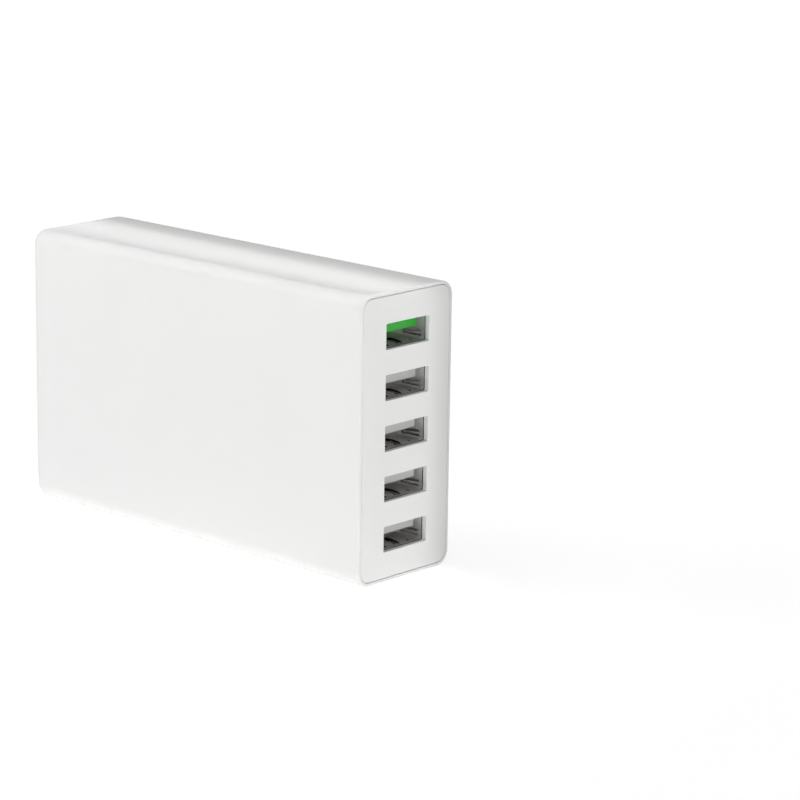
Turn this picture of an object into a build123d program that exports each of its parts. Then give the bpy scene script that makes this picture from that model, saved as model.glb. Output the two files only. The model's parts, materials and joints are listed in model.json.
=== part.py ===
from build123d import *
import os

# Five-port USB desktop charger, in millimetres. X runs from the mains inlet to the USB ports, Y through
# the thin side and Z up. The origin is the middle of the long narrow side that the charger stands on.

# Case: a moulded sleeve, closed at the inlet end
case_length = 98.8
case_depth = 27.0
case_height = 60.0
case_corner_radius = 2.7
closed_end_radius = 2.2
side_wall = 2.0
end_wall = 2.2
cavity_corner_radius = 1.2
lip_thickness = 0.65
rim_bevel = 0.2
rail_thickness = 1.2
rail_reach = 1.5
rail_clearance = 0.15
rail_end_gap = 0.5

# Port panel: lies flush in the sleeve's lip, slightly crowned, and snaps in with a skirt
panel_thickness = 2.0
panel_crown = 0.3
crown_width = 3.0
panel_gap = 0.1
cutout_width = 12.7
cutout_height = 5.3
cutout_bevel = 0.15
cutout_land = 1.1
skirt_depth = 4.0
skirt_wall = 1.2
skirt_clearance = 0.15
snap_height = 0.5
snap_length = 14.0
snap_setback = 1.2
snap_clearance = 0.1

# USB-A sockets: mouth, tongue and contacts follow the connector's standard sizes
port_count = 5
port_pitch = 10.5
mouth_width = 12.5
mouth_height = 5.12
shell_sheet = 0.3
shell_bend_radius = 0.6
shell_length = 13.0
shell_seam = 0.1
shell_gap = 0.15
pocket_clearance = 0.15
spring_lead = 1.0
spring_length = 4.8
spring_reach = 0.4
spring_tip_length = 1.3
spring_width = 2.3
spring_slot = 0.45
spring_spacing = 4.1
side_spring_width = 0.7
side_spring_slot = 0.3
side_spring_drop = 1.15
leg_width = 2.4
tongue_width = 11.1
tongue_thickness = 1.84
tongue_roof_gap = 0.72
tongue_setback = 1.5
tongue_bevel = 0.3
socket_base_length = 3.5
socket_fit = 0.1
contact_width = 1.0
contact_thickness = 0.25
contact_inner_pitch = 2.0
contact_outer_pitch = 2.5
contact_bow = 0.75
contact_root_gap = 0.5
contact_tip_setback = 0.8
contact_bow_setback = 2.4
contact_groove_depth = 0.35
contact_groove_clearance = 0.1

# Boards
board_thickness = 1.6
board_edge_gap = 0.25
board_end_gap = 0.5
solder_gap = 2.9
usb_board_side_gap = 1.0
tab_width = 4.0
tab_reach = 0.6
slot_clearance = 0.1
lead_size = 0.7
lead_tail = 1.2
lead_hole_clearance = 0.15

# Mains inlet: two round pins in a figure-of-eight well
inlet_nose_width = 12.0
inlet_nose_height = 21.0
inlet_nose_radius = 3.0
inlet_nose_clearance = 0.15
inlet_shoulder = 1.0
inlet_depth = 15.0
inlet_well_depth = 11.0
inlet_lobe_radius = 4.0
inlet_waist = 5.8
inlet_mouth_bevel = 0.4
inlet_pin_radius = 1.2
inlet_pin_pitch = 8.6
inlet_pin_setback = 2.0
inlet_pin_tip_bevel = 0.5
inlet_pin_clearance = 0.05
inlet_tail_size = 1.4

# Parts on the main board: sizes along X, along Z and above the board
part_spacing = 1.2
part_edge_bevel = 0.5
row_offset = 16.0
fuse_length = 8.5
fuse_width = 4.0
fuse_height = 8.0
fuse_lead_pitch = 5.0
thermistor_diameter = 9.0
thermistor_thickness = 4.0
disc_stand_off = 1.0
disc_lead_pitch = 5.0
x_capacitor_length = 13.0
x_capacitor_width = 7.0
x_capacitor_height = 12.0
x_capacitor_lead_pitch = 10.0
choke_base_size = 14.0
choke_base_thickness = 1.5
choke_lead_pitch = 9.0
choke_core_length = 13.0
choke_core_width = 10.8
choke_core_height = 3.4
choke_leg = 2.8
choke_wire_build = 1.2
choke_wire_clearance = 0.05
choke_winding_gap = 0.3
bridge_length = 14.0
bridge_thickness = 3.4
bridge_height = 10.0
bridge_chamfer = 2.0
bridge_lead_pitch = 3.8
bulk_diameter = 10.0
bulk_length = 20.0
bulk_row_offset = 12.0
bulk_lead_pitch = 5.0
core_length = 16.0
core_width = 22.0
core_thickness = 7.0
core_back = 3.5
core_centre_leg = 6.0
core_outer_leg = 3.5
core_clearance = 0.15
bobbin_wall = 0.9
bobbin_flange = 1.0
bobbin_leg_clearance = 0.25
bobbin_lead_pitch = 3.5
winding_build = 2.9
winding_clearance = 0.05
winding_corner_radius = 2.0
transformer_row_offset = 8.0
y_capacitor_diameter = 7.0
y_capacitor_thickness = 3.2
optocoupler_length = 4.6
optocoupler_width = 6.5
optocoupler_height = 3.5
optocoupler_lead_pitch = 2.54
heatsink_sheet = 1.5
heatsink_foot = 2.5
heatsink_top_margin = 1.4
primary_heatsink_width = 14.0
output_heatsink_width = 16.0
primary_row_offset = -13.5
output_row_offset = 12.0
transistor_width = 10.0
transistor_tab = 1.3
transistor_tab_reach = 6.0
transistor_body = 3.2
transistor_body_height = 5.8
transistor_stand_off = 2.5
transistor_lead_pitch = 2.54
screw_radius = 1.5
screw_clearance = 0.1
screw_head_radius = 2.6
screw_head_height = 1.8
screw_tip = 1.0
output_can_diameter = 8.0
output_can_height = 12.0
output_can_count = 3
output_can_gap = 0.6
output_can_lead_pitch = 3.5
controller_length = 5.0
controller_width = 4.0
controller_height = 1.5
controller_leg_count = 4
controller_leg_pitch = 1.27
controller_leg_width = 0.45
controller_leg_reach = 1.0
controller_leg_thickness = 0.2
port_chip_size = 3.0
port_chip_height = 1.1
port_chip_offset = -8.4
film_thickness = 0.4
film_edge_gap = 2.0

# Places that follow from the sizes above
mid_z = case_height / 2
closed_end_x = -case_length / 2
port_face_x = case_length / 2
rim_x = port_face_x - panel_crown
panel_seat_x = rim_x - panel_thickness
skirt_end_x = panel_seat_x - skirt_depth
cavity_end_x = closed_end_x + end_wall
cavity_depth = case_depth - 2 * side_wall
cavity_height = case_height - 2 * side_wall
rebate_depth = case_depth - 2 * lip_thickness
rebate_height = case_height - 2 * lip_thickness
rebate_radius = case_corner_radius - lip_thickness
skirt_outer_depth = cavity_depth - 2 * skirt_clearance
skirt_outer_height = cavity_height - 2 * skirt_clearance

shell_width = mouth_width + 2 * shell_sheet
shell_height = mouth_height + 2 * shell_sheet
shell_mouth_x = port_face_x - cutout_land - shell_gap
port_heights = [mid_z + (2 * n - port_count + 1) / 2 * port_pitch for n in reversed(range(port_count))]
base_front = socket_base_length - shell_length
tongue_under = mouth_height / 2 - tongue_roof_gap - tongue_thickness
contact_level = tongue_under + contact_groove_depth - contact_thickness / 2
contact_places = [
    side * (contact_inner_pitch / 2 + step) for step in (0, contact_outer_pitch) for side in (-1, 1)
]

usb_board_front_x = shell_mouth_x - shell_length
usb_board_back_x = usb_board_front_x - board_thickness
board_start_x = cavity_end_x + board_end_gap
solder_face_y = cavity_depth / 2 - solder_gap
board_face_y = solder_face_y - board_thickness
board_low_z = side_wall + board_edge_gap
board_high_z = case_height - side_wall - board_edge_gap
board_top = Plane.XZ.offset(-board_face_y)
tab_heights = [(upper + lower) / 2 for upper, lower in zip(port_heights, port_heights[1:])]
tail_length = board_thickness + lead_tail
board_end_x = usb_board_back_x - lead_tail - slot_clearance

inlet_back_x = closed_end_x + inlet_depth
inlet_floor_x = closed_end_x + inlet_well_depth
inlet_tail_x = inlet_back_x + inlet_tail_size
inlet_half_depth = inlet_nose_width / 2 + inlet_shoulder
inlet_half_height = inlet_nose_height / 2 + inlet_shoulder
pin_heights = [mid_z + side * inlet_pin_pitch / 2 for side in (1, -1)]

# Columns of parts from the inlet on, each beside the last, and the output column by the socket board
entry_x = (inlet_tail_x + cavity_end_x) / 2
fuse_z = mid_z + inlet_half_height + part_spacing + fuse_width / 2
thermistor_z = mid_z - inlet_half_height - part_spacing - thermistor_thickness / 2
filter_x = inlet_tail_x + inlet_pin_radius + part_spacing + choke_base_size / 2
bulk_x = filter_x + choke_base_size / 2 + part_spacing + bulk_diameter / 2
transformer_x = bulk_x + bulk_diameter / 2 + part_spacing + core_length / 2
primary_x = bulk_x + bulk_diameter / 2 + part_spacing + heatsink_foot
output_x = usb_board_back_x - port_chip_height - part_spacing - heatsink_foot - heatsink_sheet
core_level = core_thickness / 2 + bobbin_wall + winding_build + winding_clearance + bobbin_leg_clearance
bobbin_length = core_length - 2 * core_back - 2 * core_clearance
transformer_z = mid_z + transformer_row_offset
isolation_z = mid_z + primary_row_offset
isolation_x = primary_x + heatsink_sheet + transistor_tab + transistor_body + part_spacing
screw_level = transistor_stand_off + transistor_body_height + transistor_tab_reach / 2
heatsink_height = screw_level + screw_radius + screw_clearance + heatsink_top_margin


def bar(x_from, x_to, depth, height, radius):
    """Rounded rectangular bar along X on the case's own axis."""
    outline = Plane.YZ.offset(x_from) * Pos(0, mid_z) * RectangleRounded(depth, height, radius)
    return extrude(outline, amount=x_to - x_from)


def block(x_from, x_to, y_from, y_to, z_from, z_to):
    """Plain block between two corners."""
    size = Box(x_to - x_from, y_to - y_from, z_to - z_from, align=Align.MIN)
    return Pos(x_from, y_from, z_from) * size


def strip(line, thickness, width):
    """Flat spring of even thickness: a bent line in X and Z, made wide in Y."""
    upper = [(x, z + thickness / 2) for x, z in line]
    lower = [(x, z - thickness / 2) for x, z in reversed(line)]
    outline = make_face(Polyline(*upper, *lower, close=True))
    return extrude(Plane.XZ * outline, amount=width / 2, both=True)


def rod(radius, bottom, top):
    """Upright round rod."""
    return Pos(0, 0, bottom) * Cylinder(radius, top - bottom, align=(Align.CENTER, Align.CENTER, Align.MIN))


def row(x, z, count, pitch, across=False):
    """Evenly pitched places in X and Z, along X or, across, along Z."""
    steps = [(n - (count - 1) / 2) * pitch for n in range(count)]
    return [(x, z + step) if across else (x + step, z) for step in steps]


def lead(size, bottom, top):
    """Upright square lead, or the hole for one."""
    return Pos(0, 0, bottom) * Box(size, size, top - bottom, align=(Align.CENTER, Align.CENTER, Align.MIN))


def on_board(x, z, piece, places=(), lead_top=part_edge_bevel):
    """A piece stood on the main board with its leads through the holes."""
    placed = Pos(x, z) * piece
    for lead_x, lead_z in places:
        placed += Pos(lead_x, lead_z) * lead(lead_size, -tail_length, lead_top)
    return board_top * placed


# Lead places of each part, shared by the part and by the holes in the board
fuse_leads = row(entry_x, fuse_z, 2, fuse_lead_pitch)
thermistor_leads = row(entry_x, thermistor_z, 2, disc_lead_pitch)
x_capacitor_leads = row(filter_x, mid_z + row_offset, 2, x_capacitor_lead_pitch)
choke_leads = [
    place
    for side in (-1, 1)
    for place in row(filter_x, mid_z + side * choke_lead_pitch / 2, 2, choke_lead_pitch)
]
bridge_leads = row(filter_x, mid_z - row_offset, 4, bridge_lead_pitch)
bulk_heights = [mid_z + side * bulk_row_offset for side in (1, -1)]
bulk_lead_z = [z - bulk_length / 2 - part_spacing for z in bulk_heights]
bulk_leads = [row(bulk_x, z, 2, bulk_lead_pitch) for z in bulk_lead_z]
bobbin_leads = [
    place
    for side in (-1, 1)
    for place in row(
        transformer_x + side * (bobbin_length - bobbin_flange) / 2, transformer_z, 4, bobbin_lead_pitch, True
    )
]
y_capacitor_x = isolation_x + y_capacitor_diameter / 2
y_capacitor_z = isolation_z + disc_lead_pitch
y_capacitor_leads = row(y_capacitor_x, y_capacitor_z, 2, disc_lead_pitch)
optocoupler_z = isolation_z - disc_lead_pitch
optocoupler_x = isolation_x + optocoupler_width / 2
optocoupler_leads = [
    place
    for side in (-1, 1)
    for place in row(
        optocoupler_x + side * (optocoupler_width - lead_size) / 2,
        optocoupler_z,
        2,
        optocoupler_lead_pitch,
        True,
    )
]
output_z = mid_z + output_row_offset
transistor_offset = transistor_tab + transistor_body / 2
primary_face_x = primary_x + heatsink_sheet
primary_leads = row(primary_face_x + transistor_offset, isolation_z, 3, transistor_lead_pitch, True)
rectifier_leads = row(output_x - transistor_offset, output_z, 3, transistor_lead_pitch, True)
can_pitch = output_can_diameter + output_can_gap
can_top_z = output_z - output_heatsink_width / 2 - part_spacing - output_can_diameter / 2
can_x = usb_board_back_x - port_chip_height - part_spacing - output_can_diameter / 2
can_places = [(can_x, can_top_z - n * can_pitch) for n in range(output_can_count)]
can_leads = [row(x, z, 2, output_can_lead_pitch) for x, z in can_places]
board_leads = (
    fuse_leads + thermistor_leads + x_capacitor_leads + choke_leads + bridge_leads
    + sum(bulk_leads, []) + bobbin_leads + y_capacitor_leads + optocoupler_leads
    + primary_leads + rectifier_leads + sum(can_leads, [])
)


def snap_ridges(height):
    """Wedge ridges across the top and bottom of the panel's skirt, or the grooves that they snap into."""
    wedge = make_face(Polyline((-height, 0), (0, height), (height, 0), (0, -height), close=True))
    ridge = extrude(Plane.XZ * wedge, amount=snap_length / 2, both=True)
    x = skirt_end_x + snap_setback
    return [Pos(x, 0, mid_z + side * skirt_outer_height / 2) * ridge for side in (-1, 1)]


def make_rails():
    """Ribs on the floor and roof of the cavity that guide the main board's edges."""
    rail_end_x = usb_board_back_x - rail_end_gap
    inner_y = board_face_y - rail_clearance - rail_thickness
    outer_y = solder_face_y + rail_clearance
    rails = []
    for y in (inner_y, outer_y):
        for z in (side_wall, case_height - side_wall - rail_reach):
            rails.append(block(cavity_end_x, rail_end_x, y, y + rail_thickness, z, z + rail_reach))
    return rails


def inlet_nose(x_from, x_to, growth):
    """Rounded outline of the inlet's face, or of the window that it looks out of."""
    outline = RectangleRounded(
        inlet_nose_width + 2 * growth, inlet_nose_height + 2 * growth, inlet_nose_radius + growth
    )
    return extrude(Plane.YZ.offset(x_from) * Pos(0, mid_z) * outline, amount=x_to - x_from)


def make_case():
    """One-piece sleeve with a rebated mouth, guide rails and a window for the inlet."""
    case = bar(closed_end_x, rim_x, case_depth, case_height, case_corner_radius)
    closed_end = case.faces().sort_by(Axis.X)[0]
    case = fillet(closed_end.edges(), min(closed_end_radius, case_corner_radius - rim_bevel))
    case = chamfer(case.faces().sort_by(Axis.X)[-1].edges(), rim_bevel)
    case -= bar(cavity_end_x, rim_x, cavity_depth, cavity_height, cavity_corner_radius)
    case -= bar(panel_seat_x, rim_x, rebate_depth, rebate_height, rebate_radius)
    case -= inlet_nose(closed_end_x, cavity_end_x, inlet_nose_clearance)
    case -= snap_ridges(snap_height + snap_clearance)
    for rail in make_rails():
        case += rail
    return case


def crown_outline(half):
    """Panel's outline seen along one edge: flat in the middle, easing back to the rim."""
    face = Line((port_face_x, crown_width - half), (port_face_x, half - crown_width))
    far = TangentArc(face @ 1, (rim_x, half), tangent=(0, 1))
    near = TangentArc(face @ 0, (rim_x, -half), tangent=(0, -1))
    back = Polyline(far @ 1, (panel_seat_x, half), (panel_seat_x, -half), near @ 1)
    return make_face([face, far, back, near])


def make_panel():
    """Crowned front panel with five cut-outs, pockets for the shells behind them and a snap skirt."""
    depth = rebate_depth - 2 * panel_gap
    height = rebate_height - 2 * panel_gap
    plate = bar(panel_seat_x, port_face_x, depth, height, rebate_radius - panel_gap)
    plate &= extrude(Plane.XY * crown_outline(depth / 2), amount=case_height)
    plate &= extrude(Plane.XZ * Pos(0, mid_z) * crown_outline(height / 2), amount=case_depth, both=True)
    for z in port_heights:
        hole = Plane.YZ.offset(panel_seat_x) * Pos(0, z) * Rectangle(cutout_width, cutout_height)
        plate -= extrude(hole, amount=port_face_x - panel_seat_x)
    mouth_edges = plate.faces().sort_by(Axis.X)[-1].inner_wires().edges()
    plate = chamfer(mouth_edges, cutout_bevel)
    skirt = bar(skirt_end_x, panel_seat_x, skirt_outer_depth, skirt_outer_height, cavity_corner_radius)
    skirt -= extrude(
        Plane.YZ.offset(skirt_end_x)
        * Pos(0, mid_z)
        * Rectangle(skirt_outer_depth - 2 * skirt_wall, skirt_outer_height - 2 * skirt_wall),
        amount=skirt_depth,
    )
    panel = plate + skirt + snap_ridges(snap_height)
    for z in port_heights:
        pocket = Rectangle(shell_width + 2 * pocket_clearance, shell_height + 2 * pocket_clearance)
        pocket_depth = port_face_x - cutout_land - skirt_end_x
        panel -= extrude(Plane.YZ.offset(skirt_end_x) * Pos(0, z) * pocket, amount=pocket_depth)
    return panel


def spring_parts(width, slot):
    """A wall spring and the window round it, for a wall in the XY plane with its inside below."""
    root_x = -spring_lead
    tip_x = root_x - spring_length + slot
    half = width / 2 + slot
    window = block(tip_x - slot, root_x, -half, half, -shell_sheet, shell_sheet)
    touch = (tip_x + spring_tip_length, -spring_reach)
    line = [(root_x + slot, 0), (root_x, 0), touch, (tip_x, -spring_reach / 2)]
    return window, strip(line[::-1], shell_sheet, width)


def make_shell():
    """Folded sheet shell with sprung fingers in all four walls and two legs for the board."""
    outside = RectangleRounded(shell_width, shell_height, shell_bend_radius)
    inside = RectangleRounded(mouth_width, mouth_height, shell_bend_radius - shell_sheet)
    shell = extrude(Plane.YZ * (outside - inside), amount=-shell_length)
    side_y = (mouth_width + shell_sheet) / 2
    wall_z = (mouth_height + shell_sheet) / 2
    flat_springs = [
        Rot(turn, 0, 0) * Pos(0, step * spring_spacing / 2, wall_z) for turn in (0, 180) for step in (-1, 1)
    ]
    side_springs = [Rot(-90 * side, 0, 0) * Pos(0, side * side_spring_drop, side_y) for side in (-1, 1)]
    flat_parts = spring_parts(spring_width, spring_slot)
    side_parts = spring_parts(side_spring_width, side_spring_slot)
    for places, (window, finger) in ((flat_springs, flat_parts), (side_springs, side_parts)):
        for place in places:
            shell -= place * window
            shell += place * finger
    shell -= block(-shell_length, 0, -shell_seam / 2, shell_seam / 2, -shell_height, -mouth_height / 2)
    for side in (-1, 1):
        leg = block(
            -shell_length - tail_length, -shell_length + shell_sheet, -shell_sheet / 2, shell_sheet / 2,
            -leg_width / 2, leg_width / 2,
        )
        shell += Pos(0, side * side_y, 0) * leg
    return shell


def make_tongue():
    """Moulded base that fills the back of the shell, with the contact tongue standing forward."""
    outline = Rectangle(mouth_width - 2 * socket_fit, mouth_height - 2 * socket_fit)
    outline = chamfer(outline.vertices(), shell_bend_radius - shell_sheet)
    base = extrude(Plane.YZ.offset(-shell_length) * outline, amount=socket_base_length)
    blade = block(
        -shell_length, -tongue_setback, -tongue_width / 2, tongue_width / 2,
        tongue_under, tongue_under + tongue_thickness,
    )
    blade = chamfer(blade.faces().sort_by(Axis.X)[-1].edges(), tongue_bevel)
    tongue = base + blade
    half_groove = contact_width / 2 + contact_groove_clearance
    for y in contact_places:
        tongue -= block(
            -shell_length, -tongue_setback - contact_tip_setback + contact_groove_clearance,
            y - half_groove, y + half_groove, tongue_under, tongue_under + contact_groove_depth,
        )
    return tongue


def make_contacts():
    """Four bowed contacts that lie in the tongue's grooves, with tails through the socket board."""
    tip_x = -tongue_setback - contact_tip_setback
    line = [
        (-shell_length - tail_length, contact_level),
        (base_front + contact_root_gap, contact_level),
        (tip_x + contact_tip_setback - contact_bow_setback, contact_level - contact_bow),
        (tip_x, contact_level),
    ]
    return Part([]) + [Pos(0, y, 0) * strip(line, contact_thickness, contact_width) for y in contact_places]


def make_usb_board():
    """Upright board behind the sockets, slotted for shell legs, contact tails and the main board's tabs."""
    half = cavity_depth / 2 - usb_board_side_gap
    board = block(usb_board_back_x, usb_board_front_x, -half, half, board_low_z, board_high_z)
    side_y = (mouth_width + shell_sheet) / 2
    tail_slot = Plane.YZ.offset(usb_board_back_x) * Rectangle(
        contact_width + 2 * slot_clearance, contact_thickness + 2 * slot_clearance
    )
    leg_slot = Plane.YZ.offset(usb_board_back_x) * Rectangle(
        shell_sheet + 2 * slot_clearance, leg_width + 2 * slot_clearance
    )
    for z in port_heights:
        for y in contact_places:
            board -= extrude(Pos(0, y, z + contact_level) * tail_slot, amount=board_thickness)
        for side in (-1, 1):
            board -= extrude(Pos(0, side * side_y, z) * leg_slot, amount=board_thickness)
    for z in tab_heights:
        board -= block(
            usb_board_back_x, usb_board_front_x,
            board_face_y - slot_clearance, solder_face_y + slot_clearance,
            z - tab_width / 2 - slot_clearance, z + tab_width / 2 + slot_clearance,
        )
    return board


def make_port_controllers():
    """One small chip for each port on the back of the socket board."""
    chip = block(
        usb_board_back_x - port_chip_height, usb_board_back_x, -port_chip_size / 2, port_chip_size / 2,
        -port_chip_size / 2, port_chip_size / 2,
    )
    return Part([]) + [Pos(0, port_chip_offset, z) * chip for z in port_heights]


def make_main_board():
    """Power board in the case's rails, with tabs into the socket board and a hole for every lead."""
    board = block(board_start_x, board_end_x, board_face_y, solder_face_y, board_low_z, board_high_z)
    for z in tab_heights:
        board += block(
            board_end_x, usb_board_front_x + tab_reach, board_face_y, solder_face_y,
            z - tab_width / 2, z + tab_width / 2,
        )
    for x, z in board_leads:
        board -= board_top * Pos(x, z) * lead(lead_size + 2 * lead_hole_clearance, -board_thickness, 0)
    for z in pin_heights:
        hole = lead(inlet_tail_size + 2 * lead_hole_clearance, -board_thickness, 0)
        board -= board_top * Pos(inlet_tail_x, z) * hole
    return board


def make_inlet_body():
    """Moulded inlet: nose in the end wall, shoulder behind it, and a figure-of-eight well."""
    body = inlet_nose(closed_end_x, cavity_end_x, 0)
    body += block(
        cavity_end_x, inlet_back_x, -inlet_half_depth, board_face_y,
        mid_z - inlet_half_height, mid_z + inlet_half_height,
    )
    well = Rectangle(inlet_waist, inlet_pin_pitch)
    for side in (-1, 1):
        well += Pos(0, side * inlet_pin_pitch / 2) * Circle(inlet_lobe_radius)
    body -= extrude(Plane.YZ.offset(closed_end_x) * Pos(0, mid_z) * well, amount=inlet_well_depth)
    mouth = body.faces().sort_by(Axis.X)[0].inner_wires().edges()
    body = chamfer(mouth, inlet_mouth_bevel)
    for z in pin_heights:
        hole_size = inlet_tail_size + 2 * inlet_pin_clearance
        hole = Plane.YZ.offset(inlet_floor_x) * Pos(0, z) * Rectangle(hole_size, hole_size)
        body -= extrude(hole, amount=inlet_depth - inlet_well_depth)
    return body


def make_inlet_pin(z):
    """Round pin seated on the well's floor, with a square tail back and down through the main board."""
    tip_x = closed_end_x + inlet_pin_setback
    end_x = inlet_tail_x + inlet_tail_size / 2
    pin = extrude(Plane.YZ.offset(tip_x) * Pos(0, z) * Circle(inlet_pin_radius), amount=inlet_floor_x - tip_x)
    pin = chamfer(pin.faces().sort_by(Axis.X)[0].edges(), inlet_pin_tip_bevel)
    tail = Plane.YZ.offset(inlet_floor_x) * Pos(0, z) * Rectangle(inlet_tail_size, inlet_tail_size)
    pin += extrude(tail, amount=end_x - inlet_floor_x)
    pin += board_top * Pos(inlet_tail_x, z) * lead(inlet_tail_size, -tail_length, board_face_y)
    return pin


def make_bulk_capacitor(z, lead_places):
    """Reservoir can lying on the board, with its leads bent down into it."""
    can = Pos(0, 0, bulk_diameter / 2) * Rot(90, 0, 0) * Cylinder(bulk_diameter / 2, bulk_length)
    placed = Pos(bulk_x, z) * can
    for x, lead_z in lead_places:
        placed += Pos(x, lead_z) * lead(lead_size, -tail_length, (bulk_diameter + lead_size) / 2)
        stub = Rot(-90, 0, 0) * lead(lead_size, 0, part_spacing + lead_size)
        placed += Pos(x, lead_z, bulk_diameter / 2) * stub
    return board_top * placed


def standing_box(length, width, height):
    """Box that stands on the board."""
    return Box(length, width, height, align=(Align.CENTER, Align.CENTER, Align.MIN))


def bevelled_box(length, width, height):
    """Moulded body with bevelled edges, standing on the board."""
    body = standing_box(length, width, height)
    return chamfer(body.edges().filter_by(Axis.Z) + body.faces().sort_by(Axis.Z)[-1].edges(), part_edge_bevel)


def disc(diameter, thickness):
    """Dipped disc on edge, held clear of the board by its leads."""
    return Pos(0, 0, disc_stand_off + diameter / 2) * Rot(90, 0, 0) * Cylinder(diameter / 2, thickness)


def make_fuse():
    """Boxed radial fuse."""
    body = bevelled_box(fuse_length, fuse_width, fuse_height)
    return on_board(entry_x, fuse_z, body, fuse_leads)


def make_thermistor():
    """Disc that limits the switch-on current."""
    body = disc(thermistor_diameter, thermistor_thickness)
    middle = disc_stand_off + thermistor_diameter / 2
    return on_board(entry_x, thermistor_z, body, thermistor_leads, middle)


def make_y_capacitor():
    """Disc capacitor across the isolation gap."""
    body = disc(y_capacitor_diameter, y_capacitor_thickness)
    middle = disc_stand_off + y_capacitor_diameter / 2
    return on_board(y_capacitor_x, y_capacitor_z, body, y_capacitor_leads, middle)


def make_x_capacitor():
    """Boxed film capacitor across the mains."""
    body = bevelled_box(x_capacitor_length, x_capacitor_width, x_capacitor_height)
    return on_board(filter_x, mid_z + row_offset, body, x_capacitor_leads)


def make_choke_base():
    """Square moulded base of the choke."""
    body = standing_box(choke_base_size, choke_base_size, choke_base_thickness)
    return on_board(filter_x, mid_z, body, choke_leads)


def leg_section(growth):
    """Section of one leg of the choke's core, grown all round, on the XZ plane."""
    level = choke_base_thickness + choke_wire_build + choke_wire_clearance + choke_core_height / 2
    place = Pos((choke_core_width - choke_leg) / 2, level)
    return Plane.XZ * place * Rectangle(choke_leg + 2 * growth, choke_core_height + 2 * growth)


def make_choke_core():
    """Square ferrite ring, made of two U-shaped halves, flat above the base."""
    level = choke_base_thickness + choke_wire_build + choke_wire_clearance
    ring = standing_box(choke_core_width, choke_core_length, choke_core_height)
    ring -= standing_box(
        choke_core_width - 2 * choke_leg, choke_core_length - 2 * choke_leg, choke_core_height
    )
    return on_board(filter_x, mid_z, Pos(0, 0, level) * ring)


def make_choke_windings():
    """Two windings, one on each long leg of the core."""
    sleeve = leg_section(choke_wire_build + choke_wire_clearance) - leg_section(choke_wire_clearance)
    length = choke_core_length - 2 * choke_leg - 2 * choke_winding_gap
    coil = extrude(sleeve, amount=length / 2, both=True)
    pair = Part([]) + [Rot(0, 0, turn) * coil for turn in (0, 180)]
    return on_board(filter_x, mid_z, pair)


def make_bridge():
    """Flat bridge rectifier on edge, with one cut corner."""
    body = standing_box(bridge_length, bridge_thickness, bridge_height)
    corner = body.edges().filter_by(Axis.Y).sort_by(Axis.Z)[-2:].sort_by(Axis.X)[-1]
    body = chamfer(corner, bridge_chamfer)
    return on_board(filter_x, mid_z - row_offset, body, bridge_leads)


def make_core_half(side):
    """E-shaped ferrite half: a back and three legs that meet the other half in the middle."""
    half = core_length / 2
    level = core_thickness / 2
    back = block(half - core_back, half, -core_width / 2, core_width / 2, -level, level)
    reach = [
        (-core_width / 2, core_outer_leg),
        (-core_centre_leg / 2, core_centre_leg),
        (core_width / 2 - core_outer_leg, core_outer_leg),
    ]
    for start, width in reach:
        back += block(0, half, start, start + width, -level, level)
    turned = back if side > 0 else Rot(0, 0, 180) * back
    return on_board(transformer_x, transformer_z, Pos(0, 0, core_level) * turned)


def tube_section(growth):
    """Section of the bobbin's bore round the centre leg, grown all round, on the YZ plane."""
    return Rectangle(core_centre_leg + 2 * growth, core_thickness + 2 * growth)


def make_bobbin():
    """Square tube on the centre leg with a flange at each end that stands on the board."""
    bore = core_clearance
    tube = tube_section(bore + bobbin_wall) - tube_section(bore)
    start = Plane.YZ.offset(-bobbin_length / 2) * Pos(0, core_level)
    bobbin = extrude(start * tube, amount=bobbin_length)
    flange_top = core_level + core_thickness / 2 + bore + bobbin_wall + winding_build
    flange_width = core_width - 2 * core_outer_leg - 2 * core_clearance
    for x in (-bobbin_length / 2, bobbin_length / 2 - bobbin_flange):
        flange = block(x, x + bobbin_flange, -flange_width / 2, flange_width / 2, 0, flange_top)
        opening = extrude(Plane.YZ.offset(x) * Pos(0, core_level) * tube_section(bore), amount=bobbin_flange)
        bobbin += flange - opening
    return on_board(transformer_x, transformer_z, bobbin, bobbin_leads)


def make_winding():
    """Taped winding between the bobbin's flanges."""
    inner = core_clearance + bobbin_wall + winding_clearance
    outline = RectangleRounded(
        core_centre_leg + 2 * inner + 2 * winding_build,
        core_thickness + 2 * inner + 2 * winding_build - 2 * winding_clearance,
        winding_corner_radius,
    )
    length = bobbin_length - 2 * bobbin_flange - 2 * winding_clearance
    start = Plane.YZ.offset(-length / 2) * Pos(0, core_level)
    winding = extrude(start * (outline - tube_section(inner)), amount=length)
    return on_board(transformer_x, transformer_z, winding)


def make_optocoupler():
    """Four-lead isolator below the disc capacitor."""
    body = standing_box(optocoupler_width, optocoupler_length, optocoupler_height)
    return on_board(optocoupler_x, optocoupler_z, body, optocoupler_leads)


def make_heatsink(x, z, width, facing):
    """Bent plate on its own foot; facing says which way along X the transistor sits."""
    plate = block(0, heatsink_sheet, -width / 2, width / 2, 0, heatsink_height)
    plate += block(-heatsink_foot, heatsink_sheet, -width / 2, width / 2, 0, heatsink_sheet)
    hole = Plane.YZ * Pos(0, screw_level) * Circle(screw_radius + screw_clearance)
    plate -= extrude(hole, amount=heatsink_sheet)
    turned = plate if facing > 0 else Rot(0, 0, 180) * plate
    return on_board(x, z, turned)


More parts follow.
